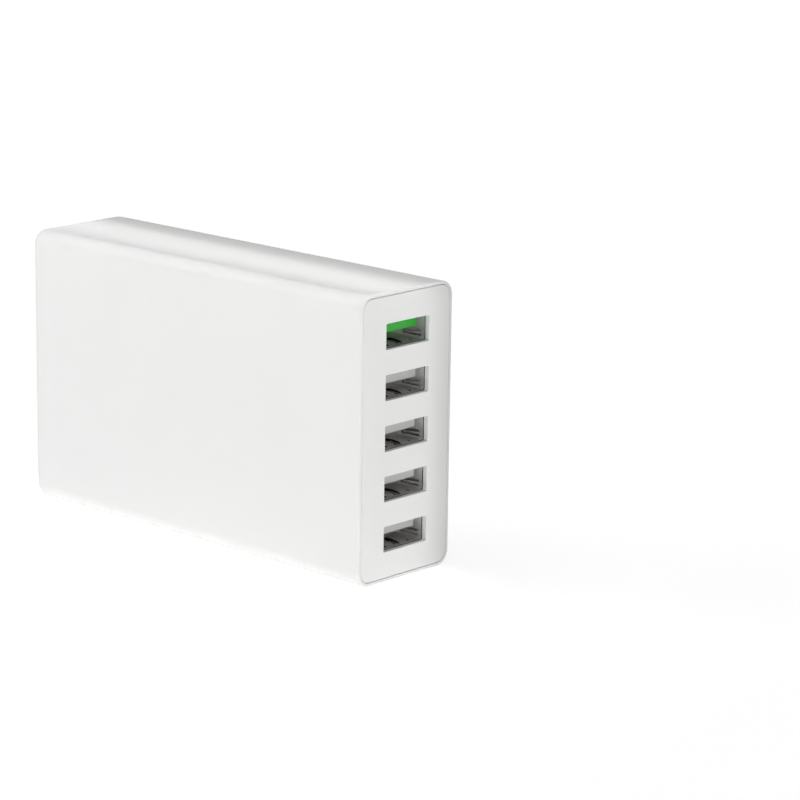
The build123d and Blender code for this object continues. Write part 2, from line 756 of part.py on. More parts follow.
def make_transistor(x, z, facing, places):
    """Moulded body on a metal tab that lies against the heat sink."""
    half = transistor_width / 2
    bottom = transistor_stand_off
    tab_top = bottom + transistor_body_height + transistor_tab_reach
    tab = block(0, transistor_tab, -half, half, bottom, tab_top)
    hole = Plane.YZ * Pos(0, screw_level) * Circle(screw_radius + screw_clearance)
    tab -= extrude(hole, amount=transistor_tab)
    thick = transistor_tab + transistor_body
    tab += block(0, thick, -half, half, bottom, bottom + transistor_body_height)
    turned = tab if facing > 0 else Rot(0, 0, 180) * tab
    return on_board(x, z, turned, places, bottom + part_edge_bevel)


def make_screw(x, z, facing):
    """Hexagon-head screw through a transistor's tab into its heat sink."""
    start = Pos(transistor_tab, 0, screw_level) * Rot(0, 90, 0)
    screw = start * extrude(RegularPolygon(screw_head_radius, 6), amount=screw_head_height)
    screw += start * rod(screw_radius, -transistor_tab - heatsink_sheet - screw_tip, 0)
    turned = screw if facing > 0 else Rot(0, 0, 180) * screw
    return on_board(x, z, turned)


def make_pwm_controller():
    """Eight-leg chip on the solder side, behind the upper reservoir can."""
    half_length = controller_length / 2
    half_width = controller_width / 2
    y = solder_face_y
    chip = block(-half_length, half_length, y, y + controller_height, -half_width, half_width)
    leg = block(
        -controller_leg_width / 2, controller_leg_width / 2, y, y + controller_leg_thickness,
        -half_width - controller_leg_reach, half_width + controller_leg_reach,
    )
    for n in range(controller_leg_count):
        chip += Pos((n - (controller_leg_count - 1) / 2) * controller_leg_pitch, 0, 0) * leg
    return Pos(bulk_x, 0, bulk_heights[0]) * chip


def make_film():
    """Insulating film against the wall behind the board's solder side."""
    edge = side_wall + film_edge_gap
    wall_y = cavity_depth / 2
    return block(
        board_start_x, usb_board_back_x, wall_y - film_thickness, wall_y, edge, case_height - edge
    )


parts = {
    "case": make_case(),
    "port_panel": make_panel(),
    "inlet_body": make_inlet_body(),
    "inlet_pin_upper": make_inlet_pin(pin_heights[0]),
    "inlet_pin_lower": make_inlet_pin(pin_heights[1]),
    "main_board": make_main_board(),
    "usb_board": make_usb_board(),
    "port_controllers": make_port_controllers(),
    "fuse": make_fuse(),
    "inrush_thermistor": make_thermistor(),
    "x_capacitor": make_x_capacitor(),
    "choke_base": make_choke_base(),
    "choke_core": make_choke_core(),
    "choke_windings": make_choke_windings(),
    "bridge_rectifier": make_bridge(),
    "transformer_core_inlet_half": make_core_half(-1),
    "transformer_core_port_half": make_core_half(1),
    "transformer_bobbin": make_bobbin(),
    "transformer_winding": make_winding(),
    "y_capacitor": make_y_capacitor(),
    "optocoupler": make_optocoupler(),
    "primary_heatsink": make_heatsink(primary_x, isolation_z, primary_heatsink_width, 1),
    "primary_switch": make_transistor(primary_face_x, isolation_z, 1, primary_leads),
    "output_heatsink": make_heatsink(output_x + heatsink_sheet, output_z, output_heatsink_width, -1),
    "output_rectifier": make_transistor(output_x, output_z, -1, rectifier_leads),
    "heatsink_screws": Part([])
    + [make_screw(primary_face_x, isolation_z, 1), make_screw(output_x, output_z, -1)],
    "pwm_controller": make_pwm_controller(),
    "insulation_film": make_film(),
}
for number, (z, places) in enumerate(zip(bulk_heights, bulk_leads), 1):
    parts[f"bulk_capacitor_{number}"] = make_bulk_capacitor(z, places)
output_can = rod(output_can_diameter / 2, 0, output_can_height)
for number, ((x, z), places) in enumerate(zip(can_places, can_leads), 1):
    parts[f"output_capacitor_{number}"] = on_board(x, z, output_can, places)
shell, tongue, contacts = make_shell(), make_tongue(), make_contacts()
for number, z in enumerate(port_heights, 1):
    place = Pos(shell_mouth_x, 0, z)
    parts[f"usb_shell_{number}"] = place * shell
    parts[f"usb_tongue_{number}"] = place * tongue
    parts[f"usb_contacts_{number}"] = place * contacts

os.makedirs("parts", exist_ok=True)
for name, shape in parts.items():
    export_step(shape, f"parts/{name}.step")
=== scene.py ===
import json
from math import acos, cos, pi, radians, sin

import bmesh
import bpy
from bpy.props import FloatProperty, FloatVectorProperty, PointerProperty
from bpy.types import Operator, Panel, PropertyGroup
from mathutils import Matrix, Vector


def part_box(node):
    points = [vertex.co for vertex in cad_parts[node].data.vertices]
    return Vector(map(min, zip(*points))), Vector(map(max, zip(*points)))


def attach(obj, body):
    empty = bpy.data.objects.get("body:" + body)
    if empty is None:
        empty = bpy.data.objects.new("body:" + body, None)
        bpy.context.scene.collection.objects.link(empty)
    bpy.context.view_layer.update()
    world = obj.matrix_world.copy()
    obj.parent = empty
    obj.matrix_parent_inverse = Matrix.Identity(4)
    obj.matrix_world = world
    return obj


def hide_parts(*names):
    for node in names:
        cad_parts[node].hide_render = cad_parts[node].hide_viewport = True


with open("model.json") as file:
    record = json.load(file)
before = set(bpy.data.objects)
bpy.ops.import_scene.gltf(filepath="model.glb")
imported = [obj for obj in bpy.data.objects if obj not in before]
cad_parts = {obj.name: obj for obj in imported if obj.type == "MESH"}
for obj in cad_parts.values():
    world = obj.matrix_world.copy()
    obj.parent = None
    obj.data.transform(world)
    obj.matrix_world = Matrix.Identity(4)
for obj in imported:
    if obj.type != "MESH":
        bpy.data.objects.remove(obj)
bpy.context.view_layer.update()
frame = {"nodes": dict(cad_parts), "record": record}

bl_info = {
    "name": "USB desktop charger",
    "version": (1, 0, 0),
    "blender": (4, 5, 0),
    "location": "3D View > Sidebar > Charger",
    "description": "Dresses a five-port desktop charger and sets up its studio",
    "category": "Object",
}

# Lengths are in metres, X runs from the mains inlet to the ports and Z is up, as in the frame.
MM = 0.001
CORNER_STEPS = 12
CIRCLE_STEPS = 4 * CORNER_STEPS
EDGE_STEPS = 5
MERGE_DISTANCE = 1e-7
SHARP_ANGLE = radians(32)
# Sides in Y and Z of a section's four corners, in the order that its points run
CORNERS = ((1, 1), (-1, 1), (-1, -1), (1, -1))
WHITE = (1.0, 1.0, 1.0, 1.0)
# A moulding's shade drifts over a few centimetres, and its roughness varies a little with the peel
CLOUD_MM = 22
PEEL_GLOSS = 0.02
# Rolling lines beside a sheet's own shade and roughness, and their depth, a little more than real to show
LINE_SHADES = (0.86, 1.1)
LINE_GLOSS = (-0.08, 0.12)
LINE_DEPTH_MM = 0.002
# Share of its reach that the tip of a socket's spring curls back
TIP_CURL = 0.5
# Shade and grain of the floor's paper, and the distances between which its glow grows
PAPER_SHADE = 0.97
PAPER_GRAIN_MM = 0.8
GLOW_START, GLOW_END = 0.1, 0.8
# Heights of a ray between which the studio's walls give way to its ceiling
WALL_TOP, CEILING_START = 0.2, 0.45
SENSOR_MM = 36.0

PORT_COUNT = sum(name.startswith("usb_shell_") for name in frame["nodes"])
PIN_NODES = ("inlet_pin_lower", "inlet_pin_upper")


def node_box(name):
    """Lowest and highest corner of a frame node."""
    low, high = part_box(name)
    return Vector(low), Vector(high)


CASE_LOW, CASE_HIGH = node_box("case")
PANEL_LOW, PANEL_HIGH = node_box("port_panel")
BOARD_LOW, BOARD_HIGH = node_box("main_board")
INLET_LOW, INLET_HIGH = node_box("inlet_body")
PIN_LOW, PIN_HIGH = node_box(PIN_NODES[0])
PIN_PITCH = node_box(PIN_NODES[1])[0].z - PIN_LOW.z
SOCKET_BOXES = [node_box(f"usb_shell_{n}") for n in range(1, PORT_COUNT + 1)]
PORT_HEIGHTS = [(low.z + high.z) / 2 for low, high in SOCKET_BOXES]
PORT_PITCH = PORT_HEIGHTS[0] - PORT_HEIGHTS[1]
SOCKET_LOW, SOCKET_HIGH = SOCKET_BOXES[0]
LEG_END_X, MOUTH_X = SOCKET_LOW.x, SOCKET_HIGH.x
MOUTH_WIDTH, MOUTH_HEIGHT = SOCKET_HIGH.y - SOCKET_LOW.y, SOCKET_HIGH.z - SOCKET_LOW.z
MID_Z = (CASE_LOW.z + CASE_HIGH.z) / 2


def linear(hex_colour):
    """Linear RGBA of an sRGB hex colour."""
    channels = [int(hex_colour[n:n + 2], 16) / 255 for n in (1, 3, 5)]
    return [c / 12.92 if c <= 0.04045 else ((c + 0.055) / 1.055) ** 2.4 for c in channels] + [1.0]


def length(name, description, millimetres):
    """A length that a user may change, with its default in millimetres."""
    return FloatProperty(
        name=name, description=description, default=millimetres * MM, min=0.0, unit="LENGTH", precision=5
    )


def colour(name, description, hex_colour):
    """A colour that a user may change, with its default as sRGB hex."""
    return FloatVectorProperty(
        name=name, description=description, default=linear(hex_colour), size=4, min=0.0, max=1.0,
        subtype="COLOR",
    )


def amount(name, description, default):
    """A plain number that a user may change."""
    return FloatProperty(name=name, description=description, default=default, min=0.0, precision=4)


def rotation(name, description, degrees):
    """An angle that a user may change, with its default in degrees."""
    return FloatProperty(name=name, description=description, default=radians(degrees), unit="ROTATION")


class CaseSizes(PropertyGroup):
    """Sizes of the moulded sleeve."""

    corner_radius: length("Corner radius", "Round along the four long edges", 3.2)
    end_radius: length("Closed end radius", "Round about the inlet end", 2.2)
    side_wall: length("Side wall", "Thickness of the long walls", 2.0)
    end_wall: length("End wall", "Thickness of the closed end", 2.2)
    cavity_radius: length("Cavity radius", "Corner round of the inside", 1.2)
    lip: length("Lip", "Thickness of the wall beside the panel", 0.65)
    rim_radius: length("Rim radius", "Round of the outer rim", 0.2)
    lip_radius: length("Lip radius", "Round of the rim beside the seam", 0.08)
    seat_depth: length("Seat depth", "Depth of the panel's rebate", 2.0)
    window_clearance: length("Window clearance", "Gap round the inlet's nose", 0.15)
    rail_thickness: length("Rail thickness", "Thickness of the board's guide rails", 1.2)
    rail_reach: length("Rail reach", "Height of the guide rails", 1.5)
    rail_clearance: length("Rail clearance", "Gap between rail and board", 0.15)
    rail_end_gap: length("Rail end gap", "Gap from the rails to the socket board", 0.5)


class PanelSizes(PropertyGroup):
    """Sizes of the port panel."""

    corner_radius: length("Corner radius", "Corner round of the panel", 2.45)
    crown_width: length("Crown width", "Width over which the face eases back to the seam", 5.0)
    flat_corner: length("Flat corner", "Corner round where the face turns flat", 0.5)
    flat_margin: length("Flat margin", "Flat strip inside the crown", 0.2)
    edge_radius: length("Edge radius", "Round of the outer edge beside the seam", 0.12)
    cutout_width: length("Cut-out width", "Width of a port's cut-out", 12.7)
    cutout_height: length("Cut-out height", "Height of a port's cut-out", 5.3)
    cutout_corner: length("Cut-out corner", "Corner round of a cut-out", 0.3)
    cutout_edge: length("Cut-out edge", "Round of a cut-out's front edge", 0.15)
    land: length("Land", "Depth of a cut-out's own wall", 1.1)
    pocket_clearance: length("Pocket clearance", "Gap round a socket's shell", 0.15)
    skirt_wall: length("Skirt wall", "Thickness of the snap skirt", 1.2)
    skirt_clearance: length("Skirt clearance", "Gap between skirt and case", 0.15)
    skirt_corner: length("Skirt corner", "Corner round inside the skirt", 0.2)
    snap_height: length("Snap height", "Height of the snap ridges", 0.5)
    snap_length: length("Snap length", "Length of the snap ridges", 14.0)
    snap_setback: length("Snap setback", "Distance of the ridges from the skirt's end", 1.2)
    snap_clearance: length("Snap clearance", "Gap round a ridge in its groove", 0.1)


class SocketSizes(PropertyGroup):
    """Sizes of the USB-A sockets."""

    sheet: length("Sheet", "Thickness of the shell's sheet", 0.3)
    bend_radius: length("Bend radius", "Outer round of the shell's folds", 0.6)
    seam: length("Seam", "Gap where the folded sheet meets", 0.1)
    shell_length: length("Shell length", "Length of the shell ahead of the board", 13.0)
    leg_width: length("Leg width", "Width of the legs through the board", 2.4)
    spring_lead: length("Spring lead", "Distance from the mouth to the springs", 1.0)
    spring_length: length("Spring length", "Length of a spring's window", 4.8)
    spring_reach: length("Spring reach", "How far a spring bends in", 0.4)
    spring_tip: length("Spring tip", "Length of a spring past its crest", 1.3)
    spring_width: length("Spring width", "Width of the springs in floor and roof", 2.3)
    spring_slot: length("Spring slot", "Slot round those springs", 0.6)
    spring_spacing: length("Spring spacing", "Distance between those springs", 4.1)
    side_spring_width: length("Side spring width", "Width of the springs in the sides", 0.45)
    side_spring_slot: length("Side spring slot", "Slot round the side springs", 0.45)
    side_spring_drop: length("Side spring drop", "Height of the side springs under the middle", 1.4)
    grid: length("Grid", "Spacing of the shell's mesh", 0.45)
    tongue_width: length("Tongue width", "Width of the contact tongue", 11.1)
    tongue_thickness: length("Tongue thickness", "Thickness of the contact tongue", 1.84)
    tongue_roof_gap: length("Tongue roof gap", "Gap above the tongue", 0.72)
    tongue_setback: length("Tongue setback", "Distance from the mouth to the tongue", 1.5)
    tongue_edge: length("Tongue edge", "Round of the tongue's edges", 0.3)
    base_length: length("Base length", "Length of the moulded block behind the tongue", 3.5)
    base_fit: length("Base fit", "Gap between that block and the shell", 0.1)
    contact_width: length("Contact width", "Width of a contact", 1.0)
    contact_thickness: length("Contact thickness", "Thickness of a contact", 0.25)
    contact_inner: length("Inner contacts", "Offset of the inner contacts", 1.0)
    contact_outer: length("Outer contacts", "Offset of the outer contacts", 3.5)
    contact_bow: length("Contact bow", "How far a contact bows from the tongue", 0.75)
    contact_root: length("Contact root", "Straight length ahead of the block", 0.5)
    contact_tip: length("Contact tip", "Setback of a contact's tip", 0.8)
    contact_crest: length("Contact crest", "Setback of a contact's lowest point", 2.4)
    groove_depth: length("Groove depth", "Depth of the contact grooves", 0.35)
    groove_clearance: length("Groove clearance", "Gap beside a contact in its groove", 0.1)


class InletSizes(PropertyGroup):
    """Sizes of the mains inlet."""

    nose_width: length("Nose width", "Width of the face in the end wall", 12.0)
    nose_height: length("Nose height", "Height of the face in the end wall", 21.0)
    nose_radius: length("Nose radius", "Corner round of the face", 3.0)
    nose_edge: length("Nose edge", "Round of the face's edge", 0.25)
    well_depth: length("Well depth", "Depth of the figure-of-eight well", 11.0)
    lobe_radius: length("Lobe radius", "Radius of the well's two ends", 4.0)
    waist: length("Waist", "Width of the well's waist", 5.8)
    mouth_bevel: length("Mouth bevel", "Lead-in round the well", 0.4)
    pin_radius: length("Pin radius", "Radius of a pin", 1.2)
    pin_tip: length("Pin tip", "Round of a pin's tip", 0.5)
    tail_size: length("Tail size", "Side of a pin's square tail", 1.4)


class FinishColours(PropertyGroup):
    """Colours of the finishes."""

    case: colour("Case", "White of the sleeve", "#E9E9E8")
    # A little darker than the case's white: a slight tone of its own and mostly painted shade for the port
    # panel's dimmer light
    panel: colour("Panel", "White of the port panel", "#E6E6E5")
    fast_tongue: colour("Fast port tongue", "Green of the top port", "#1FA321")
    tongue: colour("Tongue", "Pale tongue of the other ports", "#B4B4B3")
    steel: colour("Socket steel", "Tin plate of the shells", "#DADADA")
    # Near black on the shells' cut edges: painted shade for the dark slots and mouths, not the colour of
    # bare steel
    painted_edge_shade: colour("Sheared edge", "Bare cut edges of the shells", "#191A1B")
    contact: colour("Contact", "Gold flash of the contacts", "#D3C191")
    inlet: colour("Inlet", "Black of the inlet", "#161617")
    pin: colour("Pin", "Nickel plate of the pins", "#CFCBC4")
    floor: colour("Floor", "Floor of the studio", "#FFFFFF")


class StageSettings(PropertyGroup):
    """Camera and lights of the studio."""

    lens: amount("Lens", "Focal length in millimetres", 143.23)
    azimuth: rotation("Azimuth", "Turn of the camera from the front", 42.389)
    elevation: rotation("Elevation", "Height of the camera's view", 13.920)
    roll: rotation("Roll", "Camera's roll", 0.837)
    distance: length("Distance", "Distance from the camera to its aim", 681.93)
    aim: FloatVectorProperty(
        name="Aim", description="Point at the middle of the picture", unit="LENGTH",
        default=(21.28 * MM, 28.65 * MM, 27.09 * MM),
    )
    floor_size: length("Floor size", "Side of the floor", 12000.0)
    near_glow: amount("Near glow", "Light through the paper beside the charger", 0.36)
    far_glow: amount("Far glow", "Light through the paper far off", 0.9)
    ceiling: amount("Ceiling", "Brightness of the studio's ceiling", 0.0)
    walls: amount("Walls", "Brightness of the studio's walls", 0.35)
    key_power: amount("Key power", "Watts of the softbox high on the left", 0.62)
    front_power: amount("Front power", "Watts of the softbox in front", 0.75)
    top_power: amount("Top power", "Watts of the softbox above", 5.0)
    back_power: amount("Back power", "Watts of the softbox above and behind", 1.55)
    top_grid_power: amount("Top grid power", "Watts of the gridded lamp over the top", 0.0031)
    strip_grid_power: amount("Strip grid power", "Watts of the narrow gridded lamp over the top", 0.0013)
    port_grid_power: amount("Port grid power", "Watts of the gridded lamp on the ports", 0.014)


class ChargerSettings(PropertyGroup):
    """All that a user may change."""

    case: PointerProperty(type=CaseSizes)
    panel: PointerProperty(type=PanelSizes)
    socket: PointerProperty(type=SocketSizes)
    inlet: PointerProperty(type=InletSizes)
    colours: PointerProperty(type=FinishColours)
    stage: PointerProperty(type=StageSettings)


def add_node(tree, kind, inputs=None, **settings):
    """Add a node, set its properties, and set or link its inputs."""
    node = tree.nodes.new(kind)
    for key, value in settings.items():
        setattr(node, key, value)
    for key, value in (inputs or {}).items():
        if isinstance(value, bpy.types.NodeSocket):
            tree.links.new(value, node.inputs[key])
        else:
            node.inputs[key].default_value = value
    return node


def new_material(name, **sockets):
    """A new material: itself, its tree, its shader with plain sockets set, and its Object coordinates."""
    material = bpy.data.materials.new(name)
    material.use_nodes = True
    tree = material.node_tree
    tree.nodes.clear()
    shader = add_node(tree, "ShaderNodeBsdfPrincipled", sockets)
    add_node(tree, "ShaderNodeOutputMaterial", {"Surface": shader.outputs["BSDF"]})
    return material, tree, shader, add_node(tree, "ShaderNodeTexCoord").outputs["Object"]


def tint(colour_value, factor):
    """A lighter or darker version of a linear colour."""
    return [min(1.0, c * factor) for c in colour_value[:3]] + [1.0]


def link_finish(tree, shader, shade_by, shades, grain, roughness, depth):
    """Lead a pattern into a shader's colour, and a grain into its roughness and its bump."""
    shade = add_node(tree, "ShaderNodeMix", {
        "Factor": shade_by, "A": shades[0], "B": shades[1],
    }, data_type="RGBA")
    gloss = add_node(tree, "ShaderNodeMapRange", {
        "Value": grain, "To Min": roughness[0], "To Max": roughness[1],
    })
    bump = add_node(tree, "ShaderNodeBump", {"Height": grain, "Distance": depth})
    tree.links.new(shade.outputs["Result"], shader.inputs["Base Color"])
    tree.links.new(gloss.outputs["Result"], shader.inputs["Roughness"])
    tree.links.new(bump.outputs["Normal"], shader.inputs["Normal"])


def moulded_plastic(name, base, roughness=0.3, peel_mm=0.6, peel_depth_mm=0.0002, spread=0.015):
    """Moulded plastic: even colour, a soft mirror and the faint orange peel of a steel tool."""
    material, tree, shader, place = new_material(name, IOR=1.5)
    clouds = add_node(tree, "ShaderNodeTexNoise", {
        "Vector": place, "Scale": 1 / (CLOUD_MM * MM), "Detail": 2.0,
    })
    peel = add_node(tree, "ShaderNodeTexNoise", {
        "Vector": place, "Scale": 1 / (peel_mm * MM), "Detail": 3.0,
    })
    link_finish(
        tree, shader, clouds.outputs["Fac"], (tint(base, 1 - spread), tint(base, 1 + spread)),
        peel.outputs["Fac"], (roughness - PEEL_GLOSS, roughness + PEEL_GLOSS), peel_depth_mm * MM,
    )
    return material


def rolled_metal(name, base, roughness=0.3, line_mm=0.12, line_length_mm=6.0, metallic=1.0):
    """Rolled and plated sheet: a metal with fine lines along the rolling direction and uneven gloss."""
    material, tree, shader, place = new_material(name, Metallic=metallic)
    stretch = add_node(tree, "ShaderNodeMapping", {
        "Vector": place, "Scale": (1 / (line_length_mm * MM), 1 / (line_mm * MM), 1 / (line_mm * MM)),
    })
    lines = add_node(tree, "ShaderNodeTexNoise", {
        "Vector": stretch.outputs["Vector"], "Scale": 1.0, "Detail": 4.0,
    })
    link_finish(
        tree, shader, lines.outputs["Fac"], [tint(base, shade) for shade in LINE_SHADES],
        lines.outputs["Fac"], [roughness + change for change in LINE_GLOSS], LINE_DEPTH_MM * MM,
    )
    return material


def quarter_turn(steps):
    """Cosine and sine at even steps through a quarter turn, both ends included."""
    angles = [step / steps * pi / 2 for step in range(steps + 1)]
    return [(cos(angle), sin(angle)) for angle in angles]


def rounded_ring(x, depth, height, radius, centre=(0.0, MID_Z), stops=()):
    """Points round a rounded rectangle across X, with more at the stops' heights on its upright sides."""
    ring = []
    for corner, (side_y, side_z) in enumerate(CORNERS):
        middle_y = centre[0] + side_y * (depth / 2 - radius)
        middle_z = centre[1] + side_z * (height / 2 - radius)
        for step in range(CORNER_STEPS + 1):
            angle = (corner + step / CORNER_STEPS) * pi / 2
            ring.append(Vector((x, middle_y + radius * cos(angle), middle_z + radius * sin(angle))))
        if corner == 1:
            ring += [Vector((x, centre[0] - depth / 2, z)) for z in sorted(stops, reverse=True)]
        if corner == 3:
            ring += [Vector((x, centre[0] + depth / 2, z)) for z in sorted(stops)]
    return ring


def loft(bm, rings, closed=False, capped=False):
    """Skin rings of equally many points; closed joins the last to the first, capped fills both ends."""
    rows = [[bm.verts.new(point) for point in ring] for ring in rings]
    following = rows[1:] + rows[:1] if closed else rows[1:]
    for row, next_row in zip(rows, following):
        for n, vertex in enumerate(row):
            m = (n + 1) % len(row)
            bm.faces.new((vertex, row[m], next_row[m], next_row[n]))
    if capped:
        bm.faces.new(rows[0][::-1])
        bm.faces.new(rows[-1])


def box_mesh(bm, low, high):
    """A plain block, for cutting or joining."""
    middle = (Vector(low) + Vector(high)) / 2
    size = Vector(high) - Vector(low)
    bmesh.ops.create_cube(bm, size=1.0, matrix=Matrix.Translation(middle) @ Matrix.Diagonal((*size, 1.0)))


def mesh_object(name, bm):
    """A linked object from a bmesh, with doubles merged and faces turned outwards."""
    bmesh.ops.remove_doubles(bm, verts=bm.verts, dist=MERGE_DISTANCE)
    bmesh.ops.recalc_face_normals(bm, faces=bm.faces)
    mesh = bpy.data.meshes.new(name)
    bm.to_mesh(mesh)
    bm.free()
    obj = bpy.data.objects.new(name, mesh)
    bpy.context.scene.collection.objects.link(obj)
    return obj


def settle(obj):
    """Turn what the modifiers make into the object's own plain mesh."""
    depsgraph = bpy.context.evaluated_depsgraph_get()
    plain = bpy.data.meshes.new_from_object(obj.evaluated_get(depsgraph), depsgraph=depsgraph)
    obj.modifiers.clear()
    worn = obj.data
    obj.data = plain
    bpy.data.meshes.remove(worn)
    plain.name = obj.name


def combine(obj, tool_bm, operation):
    """Join another solid to the object, or cut it away."""
    tool = mesh_object("tool", tool_bm)
    modifier = obj.modifiers.new("combine", "BOOLEAN")
    modifier.operation = operation
    modifier.solver = "EXACT"
    modifier.object = tool
    settle(obj)
    mesh = tool.data
    bpy.data.objects.remove(tool)
    bpy.data.meshes.remove(mesh)


def smooth(obj):
    """Smooth shading that keeps corners sharp and flat faces flat."""
    obj.data.shade_smooth()
    obj.data.set_sharp_from_angle(angle=SHARP_ANGLE)
    modifier = obj.modifiers.new("even_normals", "WEIGHTED_NORMAL")
    modifier.keep_sharp = True
    settle(obj)


def hand_over(obj, material, slot, *nodes):
    """Give a finished piece a material, if it has none, and its body, and hide the nodes it stands for;
    the slot is not used.
    """
    if not obj.data.materials:
        obj.data.materials.append(material)
    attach(obj, "root")
    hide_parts(*nodes)


def row_tree():
    """Geometry Nodes tree that repeats an object's mesh evenly up Z."""
    tree = bpy.data.node_groups.new("even_row", "GeometryNodeTree")
    inputs = {"Geometry": "Geometry", "Count": "Int", "Pitch": "Float", "Finish": "Material"}
    for name, kind in inputs.items():
        tree.interface.new_socket(name, in_out="INPUT", socket_type=f"NodeSocket{kind}")
    tree.interface.new_socket("Geometry", in_out="OUTPUT", socket_type="NodeSocketGeometry")
    given = add_node(tree, "NodeGroupInput").outputs
    offset = add_node(tree, "ShaderNodeCombineXYZ", {"Z": given["Pitch"]})
    line = add_node(tree, "GeometryNodeMeshLine", {
        "Count": given["Count"], "Offset": offset.outputs["Vector"],
    }, mode="OFFSET")
    copies = add_node(tree, "GeometryNodeInstanceOnPoints", {
        "Points": line.outputs["Mesh"], "Instance": given["Geometry"],
    })
    real = add_node(tree, "GeometryNodeRealizeInstances", {"Geometry": copies.outputs["Instances"]})
    finish = add_node(tree, "GeometryNodeSetMaterial", {
        "Geometry": real.outputs["Geometry"], "Material": given["Finish"],
    })
    add_node(tree, "NodeGroupOutput", {"Geometry": finish.outputs["Geometry"]})
    return tree


def repeat_up(obj, count, pitch, material):
    """Repeat an object's mesh up Z with the row tree, and keep the result as a plain mesh."""
    tree = bpy.data.node_groups.get("even_row") or row_tree()
    values = {"Count": count, "Pitch": pitch, "Finish": material}
    modifier = obj.modifiers.new("row", "NODES")
    modifier.node_group = tree
    for item in tree.interface.items_tree:
        if item.in_out == "INPUT" and item.name in values:
            modifier[item.identifier] = values[item.name]
    settle(obj)


def snap_wedges(settings, growth):
    """Wedges across the top and bottom of the skirt, or the grooves for them."""
    panel = settings.panel
    bm = bmesh.new()
    x = PANEL_LOW.x + panel.snap_setback
    height = panel.snap_height + growth
    half_length = panel.snap_length / 2
    skirt_half = (CASE_HIGH.z - CASE_LOW.z) / 2 - settings.case.side_wall - panel.skirt_clearance
    for side in (-1, 1):
        z = MID_Z + side * skirt_half
        outline = ((x - height, z), (x, z + height), (x + height, z), (x, z - height))
        ends = [[Vector((px, y, pz)) for px, pz in outline] for y in (-half_length, half_length)]
        loft(bm, ends, capped=True)
    return bm


def sleeve_rings(settings):
    """Rings from the inlet's window over the outside to the mouth, and back through the inside."""
    sizes, inlet = settings.case, settings.inlet
    depth, height = CASE_HIGH.y - CASE_LOW.y, CASE_HIGH.z - CASE_LOW.z
    start_x, rim_x = CASE_LOW.x, CASE_HIGH.x
    floor_x, seat_x = start_x + sizes.end_wall, rim_x - sizes.seat_depth
    clearance = sizes.window_clearance
    window = (
        inlet.nose_width + 2 * clearance, inlet.nose_height + 2 * clearance, inlet.nose_radius + clearance,
    )
    cavity = (depth - 2 * sizes.side_wall, height - 2 * sizes.side_wall, sizes.cavity_radius)

    def outer(x, inset):
        return rounded_ring(x, depth - 2 * inset, height - 2 * inset, sizes.corner_radius - inset)

    rings = [rounded_ring(start_x, *window)]
    for cosine, sine in quarter_turn(2 * EDGE_STEPS):
        rings.append(outer(start_x + sizes.end_radius * (1 - cosine), sizes.end_radius * (1 - sine)))
    for cosine, sine in quarter_turn(EDGE_STEPS):
        rings.append(outer(rim_x - sizes.rim_radius * (1 - sine), sizes.rim_radius * (1 - cosine)))
    for cosine, sine in quarter_turn(EDGE_STEPS):
        inset = sizes.lip - sizes.lip_radius * (1 - sine)
        rings.append(outer(rim_x - sizes.lip_radius * (1 - cosine), inset))
    rings += [outer(seat_x, sizes.lip), rounded_ring(seat_x, *cavity)]
    rings += [rounded_ring(floor_x, *cavity), rounded_ring(floor_x, *window)]
    return rings


def guide_rails(sizes):
    """Rails on floor and roof, either side of the main board, sunk into the walls that they stand on."""
    bm = bmesh.new()
    start_x = CASE_LOW.x + sizes.end_wall - sizes.end_wall / 2
    end_x = node_box("usb_board")[0].x - sizes.rail_end_gap
    sunk = sizes.side_wall / 2
    for y in (
        BOARD_LOW.y - sizes.rail_clearance - sizes.rail_thickness, BOARD_HIGH.y + sizes.rail_clearance,
    ):
        for z_low, z_high in (
            (CASE_LOW.z + sunk, CASE_LOW.z + sizes.side_wall + sizes.rail_reach),
            (CASE_HIGH.z - sizes.side_wall - sizes.rail_reach, CASE_HIGH.z - sunk),
        ):
            box_mesh(bm, (start_x, y, z_low), (end_x, y + sizes.rail_thickness, z_high))
    return bm


class CHARGER_OT_case(Operator):
    """Mould the sleeve: rounded outside, rebated mouth, hollow inside, inlet window and guide rails."""

    bl_idname = "charger.case"
    bl_label = "Case"

    def execute(self, context):
        settings = context.scene.charger
        bm = bmesh.new()
        loft(bm, sleeve_rings(settings), closed=True)
        case = mesh_object("case_moulding", bm)
        combine(case, guide_rails(settings.case), "UNION")
        combine(case, snap_wedges(settings, settings.panel.snap_clearance), "DIFFERENCE")
        smooth(case)
        # A polished tool gives the sleeve a bright white with a soft gloss
        finish = moulded_plastic("white_polycarbonate_case", settings.colours.case, roughness=0.32)
        hand_over(case, finish, "case_plastic", "case")
        return {"FINISHED"}


